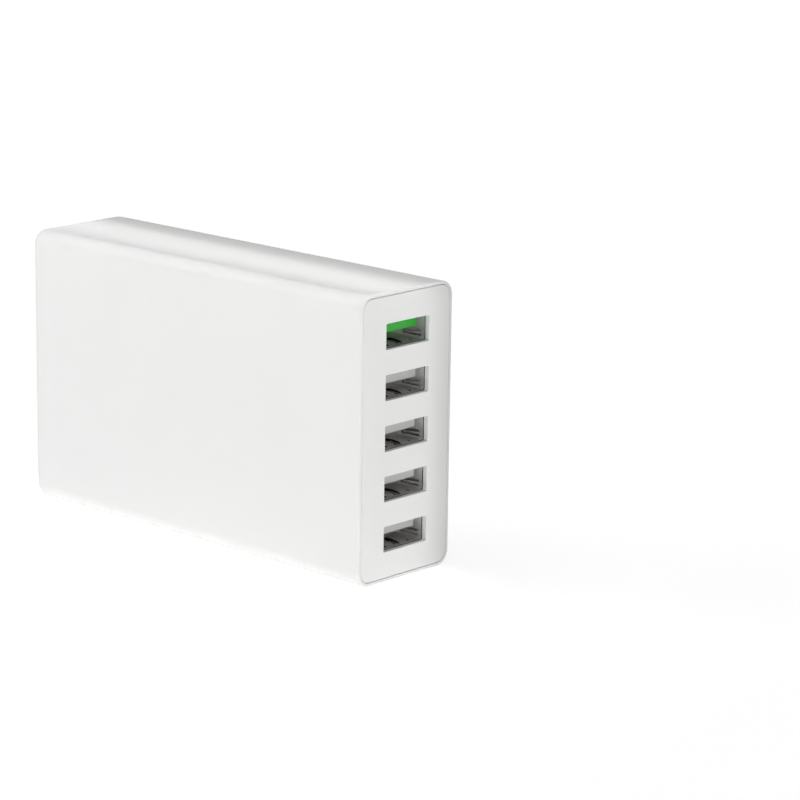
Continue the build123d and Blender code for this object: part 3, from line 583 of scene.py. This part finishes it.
class CHARGER_OT_port_panel(Operator):
    """Mould the port panel: crowned face, five cut-outs, pockets behind them and a snap skirt."""

    bl_idname = "charger.port_panel"
    bl_label = "Port panel"

    def execute(self, context):
        settings = context.scene.charger
        sizes, case = settings.panel, settings.case
        depth, height = PANEL_HIGH.y - PANEL_LOW.y, PANEL_HIGH.z - PANEL_LOW.z
        face_x, rim_x, end_x = PANEL_HIGH.x, CASE_HIGH.x, PANEL_LOW.x
        seat_x, land_x = rim_x - case.seat_depth, face_x - sizes.land
        crown = face_x - rim_x
        borders = [(upper + lower) / 2 for upper, lower in zip(PORT_HEIGHTS, PORT_HEIGHTS[1:])]

        def ring(x, inset, radius):
            return rounded_ring(x, depth - 2 * inset, height - 2 * inset, radius, stops=borders)

        def crown_x(inset):
            return face_x - crown * max(0.0, 1 - inset / sizes.crown_width) ** 2

        gap = (CASE_HIGH.y - CASE_LOW.y - depth) / 2
        skirt_outer = case.side_wall + sizes.skirt_clearance - gap
        skirt_inner = skirt_outer + sizes.skirt_wall
        rings = [
            ring(seat_x, skirt_inner, sizes.skirt_corner), ring(end_x, skirt_inner, sizes.skirt_corner),
            ring(end_x, skirt_outer, case.cavity_radius), ring(seat_x, skirt_outer, case.cavity_radius),
            ring(seat_x, 0.0, sizes.corner_radius),
        ]
        edge = sizes.edge_radius
        for cosine, sine in quarter_turn(EDGE_STEPS):
            inset = edge * (1 - cosine)
            rings.append(ring(crown_x(edge) - edge * (1 - sine), inset, sizes.corner_radius - inset))
        start_radius = sizes.corner_radius - edge
        for step in range(1, 2 * EDGE_STEPS + 1):
            share = step / (2 * EDGE_STEPS)
            inset = edge + share * (sizes.crown_width - edge)
            radius = start_radius + share * (sizes.flat_corner - start_radius)
            rings.append(ring(crown_x(inset), inset, radius))
        flat_inset = sizes.crown_width + sizes.flat_margin
        rings.append(ring(face_x, flat_inset, 0.0))
        bm = bmesh.new()
        loft(bm, rings)

        cutout = (sizes.cutout_width, sizes.cutout_height, sizes.cutout_corner)
        clearance = 2 * sizes.pocket_clearance
        pocket = (MOUTH_WIDTH + clearance, MOUTH_HEIGHT + clearance, 0.0)

        def cell(x, inset, number):
            marks = [PANEL_HIGH.z - inset, *borders, PANEL_LOW.z + inset]
            high, low = marks[number], marks[number + 1]
            return rounded_ring(x, depth - 2 * inset, high - low, 0.0, (0.0, (high + low) / 2))

        for number, z in enumerate(PORT_HEIGHTS):
            hole = [cell(face_x, flat_inset, number)]
            for cosine, sine in quarter_turn(EDGE_STEPS):
                growth = sizes.cutout_edge * (1 - sine)
                hole.append(rounded_ring(
                    face_x - sizes.cutout_edge * (1 - cosine), sizes.cutout_width + 2 * growth,
                    sizes.cutout_height + 2 * growth, sizes.cutout_corner + growth, (0.0, z),
                ))
            hole.append(rounded_ring(land_x, *cutout, (0.0, z)))
            hole += [rounded_ring(x, *pocket, (0.0, z)) for x in (land_x, seat_x)]
            hole.append(cell(seat_x, skirt_inner, number))
            loft(bm, hole)
        panel = mesh_object("port_panel_moulding", bm)
        combine(panel, snap_wedges(settings, 0.0), "UNION")
        smooth(panel)
        # Same resin as the sleeve from a finer-textured tool, coloured a little darker: a slight tone of
        # its own and mostly painted shade for the panel face's dimmer light
        finish = moulded_plastic("white_polycarbonate_panel", settings.colours.panel, roughness=0.36)
        hand_over(panel, finish, "panel_plastic", "port_panel")
        return {"FINISHED"}


def evenly(marks, spacing):
    """Marks in order, with even steps of about that spacing put between them."""
    ordered = sorted(set(marks))
    stops = ordered[:1]
    for start, end in zip(ordered, ordered[1:]):
        count = max(1, round((end - start) / spacing))
        stops += [start + (end - start) * n / count for n in range(1, count + 1)]
    return stops


def shell_springs(sizes):
    """Wall, middle, width and slot of each sprung finger."""
    offset = sizes.spring_spacing / 2
    springs = []
    for wall in ("floor", "roof"):
        for middle in (-offset, offset):
            springs.append((wall, middle, sizes.spring_width, sizes.spring_slot))
    for wall in ("near", "far"):
        springs.append((wall, -sizes.side_spring_drop, sizes.side_spring_width, sizes.side_spring_slot))
    return springs


def shell_columns(sizes, springs):
    """Stops round the folded sheet's middle line, from one side of the floor seam to the other:
    place across X, inward direction, wall and place along that wall."""
    half_y, half_z = (MOUTH_WIDTH - sizes.sheet) / 2, (MOUTH_HEIGHT - sizes.sheet) / 2
    radius = sizes.bend_radius - sizes.sheet / 2
    flat_y, flat_z = half_y - radius, half_z - radius

    def stops(wall, low, high, extra=()):
        marks = [low, high, *extra]
        for name, middle, width, slot in springs:
            if name == wall:
                reaches = (width / 2, width / 2 + slot)
                marks += [middle + side * reach for side in (-1, 1) for reach in reaches]
        return evenly([m for m in marks if low <= m <= high], sizes.grid)

    def bend(centre_y, centre_z, quarter):
        for step in range(1, EDGE_STEPS):
            angle = (quarter + step / EDGE_STEPS) * pi / 2
            out_y, out_z = cos(angle), sin(angle)
            place = (centre_y + radius * out_y, centre_z + radius * out_z)
            yield place, (-out_y, -out_z), None, 0.0

    legs = (-sizes.leg_width / 2, sizes.leg_width / 2)
    gap = sizes.seam / 2
    columns = [((t, -half_z), (0, 1), "floor", t) for t in stops("floor", gap, flat_y)]
    columns += bend(flat_y, -flat_z, 3)
    columns += [((half_y, t), (-1, 0), "far", t) for t in stops("far", -flat_z, flat_z, legs)]
    columns += bend(flat_y, flat_z, 0)
    columns += [((t, half_z), (0, -1), "roof", t) for t in reversed(stops("roof", -flat_y, flat_y))]
    columns += bend(-flat_y, flat_z, 1)
    columns += [((-half_y, t), (1, 0), "near", t) for t in reversed(stops("near", -flat_z, flat_z, legs))]
    columns += bend(-flat_y, -flat_z, 2)
    columns += [((t, -half_z), (0, 1), "floor", t) for t in stops("floor", -flat_y, -gap)]
    return columns


def spring_depth(sizes, slot, behind):
    """How far a finger has bent in at a distance behind its root: a ramp to a crest, then a curl back."""
    crest = sizes.spring_length - slot - sizes.spring_tip
    if behind <= crest:
        return sizes.spring_reach * (1 - (1 - behind / crest) ** 2)
    return sizes.spring_reach * (1 - TIP_CURL * ((behind - crest) / sizes.spring_tip) ** 2)


def folded_shell(sizes, z):
    """One socket shell as a thin folded sheet, with its windows cut and its fingers bent in."""
    springs = shell_springs(sizes)
    columns = shell_columns(sizes, springs)
    root, end = sizes.spring_lead, sizes.spring_lead + sizes.spring_length
    tips = [end - slot for _, _, _, slot in springs]
    full = MOUTH_X - LEG_END_X
    rows = evenly([0.0, root, end, sizes.shell_length, full, *tips], sizes.grid)
    bm = bmesh.new()
    grid = {}

    def vertex(i, j):
        if (i, j) not in grid:
            (y, up), (in_y, in_z), wall, along = columns[i]
            bent = 0.0
            for name, middle, width, slot in springs:
                on_finger = name == wall and abs(along - middle) <= width / 2 + MERGE_DISTANCE
                if on_finger and root <= rows[j] <= end - slot + MERGE_DISTANCE:
                    bent = spring_depth(sizes, slot, rows[j] - root)
            grid[i, j] = bm.verts.new((MOUTH_X - rows[j], y + in_y * bent, z + up + in_z * bent))
        return grid[i, j]

    def is_sheet(wall, along, behind):
        if behind > sizes.shell_length:
            return wall in ("near", "far") and abs(along) < sizes.leg_width / 2
        for name, middle, width, slot in springs:
            if name == wall and root < behind < end and abs(along - middle) < width / 2 + slot:
                return abs(along - middle) < width / 2 and behind < end - slot
        return True

    for i, (column, following) in enumerate(zip(columns, columns[1:])):
        wall = column[2] if column[2] == following[2] else None
        for j, (near, far) in enumerate(zip(rows, rows[1:])):
            if is_sheet(wall, (column[3] + following[3]) / 2, (near + far) / 2):
                bm.faces.new((vertex(i, j), vertex(i + 1, j), vertex(i + 1, j + 1), vertex(i, j + 1)))
    return bm


def contact_offsets(sizes):
    """Places of the four contacts across the tongue."""
    return [side * offset for offset in (sizes.contact_inner, sizes.contact_outer) for side in (-1, 1)]


def tongue_underside(sizes, z):
    """Height of a tongue's lower face, in the socket at that height."""
    return z + MOUTH_HEIGHT / 2 - sizes.sheet - sizes.tongue_roof_gap - sizes.tongue_thickness


def tongue_mesh(sizes, z):
    """Tongue with rounded edges on the block that fills the back of the shell."""
    under = tongue_underside(sizes, z)
    front_x, back_x = MOUTH_X - sizes.tongue_setback, MOUTH_X - sizes.shell_length
    base_x = back_x + sizes.base_length
    middle = (0.0, under + sizes.tongue_thickness / 2)
    edge = sizes.tongue_edge
    rings = []
    for cosine, sine in quarter_turn(EDGE_STEPS):
        inset = edge * (1 - sine)
        rings.append(rounded_ring(
            front_x - edge * (1 - cosine), sizes.tongue_width - 2 * inset,
            sizes.tongue_thickness - 2 * inset, edge, middle,
        ))
    rings.append(rounded_ring(base_x, sizes.tongue_width, sizes.tongue_thickness, edge, middle))
    inside = 2 * (sizes.sheet + sizes.base_fit)
    for x in (base_x, back_x):
        rings.append(rounded_ring(x, MOUTH_WIDTH - inside, MOUTH_HEIGHT - inside, edge, (0.0, z)))
    bm = bmesh.new()
    loft(bm, rings, capped=True)
    tongue = mesh_object("tongue", bm)
    grooves = bmesh.new()
    half = sizes.contact_width / 2 + sizes.groove_clearance
    tip_x = front_x - sizes.contact_tip + sizes.groove_clearance
    for y in contact_offsets(sizes):
        box_mesh(
            grooves, (back_x - sizes.base_fit, y - half, under - sizes.base_fit),
            (tip_x, y + half, under + sizes.groove_depth),
        )
    combine(tongue, grooves, "DIFFERENCE")
    smooth(tongue)
    return tongue


def contact_mesh(sizes, z):
    """Four bowed contacts that lie in the tongue's grooves and run back through the socket board."""
    under = tongue_underside(sizes, z)
    level = under + sizes.groove_depth - sizes.contact_thickness / 2
    root_x = MOUTH_X - sizes.shell_length + sizes.base_length + sizes.contact_root
    crest_x = MOUTH_X - sizes.tongue_setback - sizes.contact_crest
    tip_x = MOUTH_X - sizes.tongue_setback - sizes.contact_tip
    path = [(LEG_END_X, level)]
    for start, end, rise in ((root_x, crest_x, 0), (crest_x, tip_x, 1)):
        for step in range(2 * EDGE_STEPS + 1):
            share = step / (2 * EDGE_STEPS)
            drop = (1 - cos((rise + share) * pi)) / 2
            path.append((start + (end - start) * share, level - sizes.contact_bow * drop))
    half_y, half_z = sizes.contact_width / 2, sizes.contact_thickness / 2
    bm = bmesh.new()
    for y in contact_offsets(sizes):
        loft(bm, [
            [Vector((x, y + side_y * half_y, pz + side_z * half_z)) for side_y, side_z in CORNERS]
            for x, pz in path
        ], capped=True)
    return mesh_object("socket_contacts", bm)


class CHARGER_OT_sockets(Operator):
    """Fold the five socket shells, and mould and fit their tongues and contacts, in an even row."""

    bl_idname = "charger.sockets"
    bl_label = "USB sockets"

    def execute(self, context):
        settings = context.scene.charger
        sizes, colours = settings.socket, settings.colours
        lowest, top = PORT_HEIGHTS[-1], PORT_HEIGHTS[0]
        numbers = range(1, PORT_COUNT + 1)

        # Matte tin plate scatters light as well as mirroring it, so the sockets' walls stay pale inside
        steel = rolled_metal("matte_tin_plated_steel", colours.steel, roughness=0.37, metallic=0.62)
        # Cut edges of the sheet painted near black and dull: painted shade, so slots and mouths read as
        # dark lines
        painted_edge_shade = rolled_metal("sheared_steel_edge", colours.painted_edge_shade, roughness=0.6, metallic=0.5)
        shells = mesh_object("socket_shells", folded_shell(sizes, lowest))
        repeat_up(shells, PORT_COUNT, PORT_PITCH, steel)
        shells.data.materials.append(painted_edge_shade)
        thick = shells.modifiers.new("sheet", "SOLIDIFY")
        thick.thickness = sizes.sheet
        thick.offset = 0.0
        thick.use_even_offset = True
        thick.material_offset_rim = 1
        settle(shells)
        smooth(shells)
        hand_over(shells, steel, "socket_steel", *(f"usb_shell_{n}" for n in numbers))

        # Glass-filled PBT moulded in colour: satin, with a clear green in the fast port
        green = moulded_plastic("green_pbt", colours.fast_tongue, roughness=0.35, spread=0.05)
        fast = tongue_mesh(sizes, top)
        fast.name = "fast_port_tongue"
        hand_over(fast, green, "tongue_green", "usb_tongue_1")
        # The same PBT near its natural shade: a flat pale grey in the socket's shadow
        pale = moulded_plastic("pale_pbt", colours.tongue, roughness=0.4, spread=0.04)
        tongues = tongue_mesh(sizes, lowest)
        tongues.name = "port_tongues"
        repeat_up(tongues, PORT_COUNT - 1, PORT_PITCH, pale)
        hand_over(tongues, pale, "tongue_pale", *(f"usb_tongue_{n}" for n in numbers[1:]))

        # Spring bronze flashed with gold: warm and bright
        gold = rolled_metal("gold_flashed_bronze", colours.contact, roughness=0.25)
        contacts = contact_mesh(sizes, lowest)
        smooth(contacts)
        repeat_up(contacts, PORT_COUNT, PORT_PITCH, gold)
        hand_over(contacts, gold, "contact_gold", *(f"usb_contacts_{n}" for n in numbers))
        return {"FINISHED"}


def well_ring(x, inlet, growth):
    """Figure-of-eight outline of the inlet's well, grown all round."""
    radius = inlet.lobe_radius + growth
    overlap = acos((inlet.waist / 2 + growth) / radius)
    sweep = pi + 2 * overlap
    ring = []
    for side, start in ((1, -overlap), (-1, pi - overlap)):
        for step in range(CIRCLE_STEPS + 1):
            angle = start + sweep * step / CIRCLE_STEPS
            z = MID_Z + side * PIN_PITCH / 2 + radius * sin(angle)
            ring.append(Vector((x, radius * cos(angle), z)))
    return ring


def circle_ring(x, radius, z):
    """Points round a circle across X."""
    angles = [2 * pi * n / CIRCLE_STEPS for n in range(CIRCLE_STEPS)]
    return [Vector((x, radius * cos(angle), z + radius * sin(angle))) for angle in angles]


def inlet_moulding(sizes, wall_x, floor_x):
    """Inlet body: rounded face in the end wall, block behind it, well, and holes for the pins' tails."""
    face_x, back_x = INLET_LOW.x, INLET_HIGH.x
    edge, bevel, half = sizes.nose_edge, sizes.mouth_bevel, sizes.tail_size / 2
    rings = []
    for cosine, sine in quarter_turn(EDGE_STEPS):
        inset = edge * (1 - sine)
        rings.append(rounded_ring(
            face_x + edge * (1 - cosine), sizes.nose_width - 2 * inset, sizes.nose_height - 2 * inset,
            sizes.nose_radius - inset,
        ))
    rings.append(rounded_ring(wall_x, sizes.nose_width, sizes.nose_height, sizes.nose_radius))
    shoulder = (INLET_HIGH.y - INLET_LOW.y, INLET_HIGH.z - INLET_LOW.z, edge)
    middle = ((INLET_HIGH.y + INLET_LOW.y) / 2, MID_Z)
    rings += [rounded_ring(x, *shoulder, middle) for x in (wall_x, back_x)]
    bm = bmesh.new()
    loft(bm, rings, capped=True)
    body = mesh_object("inlet_moulding", bm)
    well = bmesh.new()
    loft(well, [
        well_ring(face_x - bevel, sizes, 2 * bevel), well_ring(face_x + bevel, sizes, 0.0),
        well_ring(floor_x, sizes, 0.0),
    ], capped=True)
    combine(body, well, "DIFFERENCE")
    holes = bmesh.new()
    for z in (MID_Z - PIN_PITCH / 2, MID_Z + PIN_PITCH / 2):
        box_mesh(holes, (floor_x - bevel, -half, z - half), (back_x + bevel, half, z + half))
    combine(body, holes, "DIFFERENCE")
    smooth(body)
    return body


def lower_pin(sizes, floor_x):
    """The lower pin: round with a rounded tip, then a square tail that turns off to the board."""
    z, half = MID_Z - PIN_PITCH / 2, sizes.tail_size / 2
    rings = []
    for cosine, sine in quarter_turn(EDGE_STEPS):
        radius = sizes.pin_radius - sizes.pin_tip * (1 - sine)
        rings.append(circle_ring(PIN_LOW.x + sizes.pin_tip * (1 - cosine), radius, z))
    rings.append(circle_ring(floor_x, sizes.pin_radius, z))
    bm = bmesh.new()
    loft(bm, rings, capped=True)
    pin = mesh_object("inlet_pins", bm)
    end_x = PIN_HIGH.x
    for start_x, end_y in ((floor_x - sizes.mouth_bevel, half), (end_x - sizes.tail_size, PIN_HIGH.y)):
        tail = bmesh.new()
        box_mesh(tail, (start_x, -half, z - half), (end_x, end_y, z + half))
        combine(pin, tail, "UNION")
    smooth(pin)
    return pin


class CHARGER_OT_inlet(Operator):
    """Mould the mains inlet with its figure-of-eight well, and set its two pins in it."""

    bl_idname = "charger.inlet"
    bl_label = "Mains inlet"

    def execute(self, context):
        settings = context.scene.charger
        sizes, colours = settings.inlet, settings.colours
        wall_x, floor_x = CASE_LOW.x + settings.case.end_wall, INLET_LOW.x + sizes.well_depth
        body = inlet_moulding(sizes, wall_x, floor_x)
        # Flame-retardant PBT from an eroded tool: black with a fine dull grain
        black = moulded_plastic(
            "black_pbt_inlet", colours.inlet, roughness=0.45, peel_mm=0.25, peel_depth_mm=0.004, spread=0.1
        )
        hand_over(body, black, "inlet_plastic", "inlet_body")

        pins = lower_pin(sizes, floor_x)
        # Turned brass with bright nickel: hard highlights on a warm grey
        nickel = rolled_metal("nickel_plated_brass", colours.pin, roughness=0.2)
        repeat_up(pins, len(PIN_NODES), PIN_PITCH, nickel)
        hand_over(pins, nickel, "nickel_pin", *PIN_NODES)
        return {"FINISHED"}


# Mouldings inside, by slot: material, colour, roughness, grain size and depth in mm, spread of shade
INNER_MOULDINGS = {
    # Glass cloth under solder mask: deep green, a little uneven
    "board_laminate": ("fr4_laminate", "#1F6B3A", 0.45, 0.5, 0.01, 0.2),
    # Epoxy moulded round the chips: near black and dull
    "chip_epoxy": ("moulded_epoxy", "#1E1E20", 0.55, 0.2, 0.006, 0.1),
    # Smooth moulded box: black with a soft gloss
    "fuse_plastic": ("black_fuse_box", "#232325", 0.35, 0.4, 0.002, 0.1),
    # Phenolic dip: dark green, matt and lumpy
    "thermistor_coat": ("dipped_phenolic", "#22392C", 0.6, 0.8, 0.02, 0.2),
    # Polypropylene box: plain yellow with a soft gloss
    "film_capacitor_plastic": ("yellow_pp_box", "#D9B63A", 0.35, 0.5, 0.002, 0.05),
    # Epoxy dip: bright blue and glossy, with slow waves
    "disc_coat": ("dipped_blue_epoxy", "#2F74B5", 0.3, 1.2, 0.02, 0.1),
    # Filled phenolic: black and dull, with a fine grain
    "moulded_black": ("black_phenolic", "#1B1B1B", 0.5, 0.3, 0.005, 0.1),
    # Pressed and fired powder: charcoal with a dry, sandy face
    "ferrite": ("sintered_ferrite", "#2C2B2C", 0.7, 0.15, 0.012, 0.2),
    # Tape in wound layers: clear yellow with a low ripple
    "winding_tape": ("polyester_tape", "#E3C44A", 0.3, 3.0, 0.01, 0.1),
    # Cast film: milky and smooth, not quite flat
    "insulating_film": ("polyester_film", "#E9E6DA", 0.25, 4.0, 0.01, 0.03),
    # Sleeve shrunk on a can: blue black and glossy
    "can_sleeve": ("pvc_can_sleeve", "#20242E", 0.3, 1.5, 0.003, 0.1),
}
# Metals inside, by slot: material, colour, roughness, and line spacing and length in mm where set
INNER_METALS = {
    # Copper under clear enamel: warm and bright, with long drawn lines
    "enamelled_wire": ("enamelled_copper", "#B4622F", 0.3, 0.35, 20.0),
    # Sheet as it left the mill: pale, with soft rolling lines
    "heatsink_aluminium": ("mill_aluminium", "#C9CBCD", 0.35),
    # Zinc plate: cool grey with a clear shine
    "screw_steel": ("zinc_plated_steel", "#BFC3C6", 0.3),
}


class CHARGER_OT_inner_parts(Operator):
    """Give every part inside the case the finish that its slot names."""

    bl_idname = "charger.inner_parts"
    bl_label = "Inner finishes"

    def execute(self, context):
        finishes = {}
        for slot, (name, shade, *grain) in INNER_MOULDINGS.items():
            finishes[slot] = moulded_plastic(name, linear(shade), *grain)
        for slot, (name, shade, *lines) in INNER_METALS.items():
            finishes[slot] = rolled_metal(name, linear(shade), *lines)
        for part in frame["record"]["subparts"]:
            if part["material_slot"] in finishes:
                node = frame["nodes"][part["node"]]
                for slot in node.material_slots:
                    slot.material = finishes[part["material_slot"]]
        return {"FINISHED"}


MIDDLE = (0.0, 0.0, MID_Z)
# Lamps: setting of the power, place, point that it looks at, size, and spread in degrees
LAMPS = {
    # The key light mirrors in the round along the front's top edge, and the dark ceiling beside it
    "key_softbox": ("key_power", (-0.62, -0.45, 0.59), MIDDLE, (0.3, 0.3), 180),
    "front_softbox": ("front_power", (-0.35, -0.9, 0.2), MIDDLE, (0.8, 0.5), 180),
    "top_softbox": ("top_power", (0.0, -0.1, 0.9), MIDDLE, (1.0, 1.0), 180),
    "back_softbox": ("back_power", (0.05, 0.5, 0.8), MIDDLE, (0.6, 0.4), 180),
    # Gridded lamps fall off towards the charger's back, so its top and its ports fade there
    "top_grid": ("top_grid_power", (0.0, -0.0095, 0.26), (0.0, -0.0095, 0.0), (0.13, 0.029), 5),
    "strip_grid": ("strip_grid_power", (0.0, -0.002, 0.26), (0.0, -0.002, 0.0), (0.13, 0.012), 2.5),
    "port_grid": ("port_grid_power", (0.1694, -0.1563, 0.05), (-0.0069, -0.0083, 0.03), (0.1, 0.12), 3.5),
}


def softbox(name, power, place, aim, size, spread):
    """A rectangular softbox that looks at a point."""
    light = bpy.data.lights.new(name, "AREA")
    light.shape = "RECTANGLE"
    light.size, light.size_y = size
    light.energy = power
    light.spread = radians(spread)
    lamp = bpy.data.objects.new(name, light)
    bpy.context.scene.collection.objects.link(lamp)
    away = Vector(place) - Vector(aim)
    lamp.matrix_world = Matrix.Translation(place) @ away.to_track_quat("Z", "Y").to_matrix().to_4x4()
    lamp.visible_camera = False


def lay_floor(scene):
    """Floor of seamless white paper over a light table."""
    stage, white = scene.charger.stage, scene.charger.colours.floor
    bm = bmesh.new()
    bmesh.ops.create_grid(bm, x_segments=1, y_segments=1, size=stage.floor_size / 2)
    floor = mesh_object("floor", bm)
    # Matt paper glows more away from the charger, so it stays white up to the picture's edge
    paper, tree, shader, place = new_material("white_paper", Roughness=0.9)
    grain = add_node(tree, "ShaderNodeTexNoise", {
        "Vector": place, "Scale": 1 / (PAPER_GRAIN_MM * MM), "Detail": 2.0,
    })
    shade = add_node(tree, "ShaderNodeMix", {
        "Factor": grain.outputs["Fac"], "A": tint(white, PAPER_SHADE), "B": white,
    }, data_type="RGBA")
    tree.links.new(shade.outputs["Result"], shader.inputs["Base Color"])
    reach = add_node(tree, "ShaderNodeVectorMath", {0: place}, operation="LENGTH")
    glow = add_node(tree, "ShaderNodeMapRange", {
        "Value": reach.outputs["Value"], "From Min": GLOW_START, "From Max": GLOW_END,
        "To Min": stage.near_glow, "To Max": stage.far_glow,
    }, interpolation_type="SMOOTHSTEP")
    shader.inputs["Emission Color"].default_value = WHITE
    tree.links.new(glow.outputs["Result"], shader.inputs["Emission Strength"])
    paper.cycles.emission_sampling = "NONE"
    floor.data.materials.append(paper)


def light_studio(scene):
    """Pale walls under a dark ceiling, and the lamps."""
    stage = scene.charger.stage
    scene.world = bpy.data.worlds.new("studio")
    scene.world.use_nodes = True
    tree = scene.world.node_tree
    tree.nodes.clear()
    ray = add_node(tree, "ShaderNodeTexCoord").outputs["Generated"]
    height = add_node(tree, "ShaderNodeSeparateXYZ", {"Vector": ray}).outputs["Z"]
    light = add_node(tree, "ShaderNodeMapRange", {
        "Value": height, "From Min": WALL_TOP, "From Max": CEILING_START,
        "To Min": stage.walls, "To Max": stage.ceiling,
    }, interpolation_type="SMOOTHSTEP")
    walls = add_node(tree, "ShaderNodeBackground", {"Color": WHITE, "Strength": light.outputs["Result"]})
    add_node(tree, "ShaderNodeOutputWorld", {"Surface": walls.outputs["Background"]})
    for name, (power, *layout) in LAMPS.items():
        softbox(name, getattr(stage, power), *layout)


def set_camera(scene):
    """Camera that looks at its aim from the set distance, turned, raised and rolled."""
    stage = scene.charger.stage
    turn, rise = stage.azimuth, stage.elevation
    back = Vector((sin(turn) * cos(rise), -cos(turn) * cos(rise), sin(rise)))
    right = Vector((cos(turn), sin(turn), 0.0))
    up = back.cross(right)
    level = cos(stage.roll) * right + sin(stage.roll) * up
    upright = cos(stage.roll) * up - sin(stage.roll) * right
    facing = Matrix((level, upright, back)).transposed().to_4x4()
    camera = bpy.data.objects.new("camera", bpy.data.cameras.new("camera"))
    scene.collection.objects.link(camera)
    camera.data.lens = stage.lens
    camera.data.sensor_width = SENSOR_MM
    camera.matrix_world = Matrix.Translation(Vector(stage.aim) + stage.distance * back) @ facing
    scene.camera = camera


class CHARGER_OT_stage(Operator):
    """Set up the pale floor, the soft light and the camera."""

    bl_idname = "charger.stage"
    bl_label = "Studio"

    def execute(self, context):
        context.scene.view_settings.view_transform = "Standard"
        lay_floor(context.scene)
        light_studio(context.scene)
        set_camera(context.scene)
        return {"FINISHED"}


STEPS = (
    CHARGER_OT_case, CHARGER_OT_port_panel, CHARGER_OT_sockets, CHARGER_OT_inlet, CHARGER_OT_inner_parts,
    CHARGER_OT_stage,
)


class CHARGER_PT_sidebar(Panel):
    """Lists the steps that dress the charger."""

    bl_idname = "CHARGER_PT_sidebar"
    bl_label = "Charger"
    bl_space_type = "VIEW_3D"
    bl_region_type = "UI"
    bl_category = "Charger"

    def draw(self, context):
        for step in STEPS:
            self.layout.operator(step.bl_idname)


CLASSES = (
    CaseSizes, PanelSizes, SocketSizes, InletSizes, FinishColours, StageSettings, ChargerSettings, *STEPS,
    CHARGER_PT_sidebar,
)


def register():
    """Register the classes and the scene's settings."""
    for cls in CLASSES:
        bpy.utils.register_class(cls)
    bpy.types.Scene.charger = PointerProperty(type=ChargerSettings)


def unregister():
    """Take the settings and the classes away again."""
    del bpy.types.Scene.charger
    for cls in reversed(CLASSES):
        bpy.utils.unregister_class(cls)


def main():
    """Dress the frame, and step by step."""
    register()
    bpy.ops.charger.case()
    bpy.ops.charger.port_panel()
    bpy.ops.charger.sockets()
    bpy.ops.charger.inlet()
    bpy.ops.charger.inner_parts()
    bpy.ops.charger.stage()


if __name__ == "__main__":
    main()
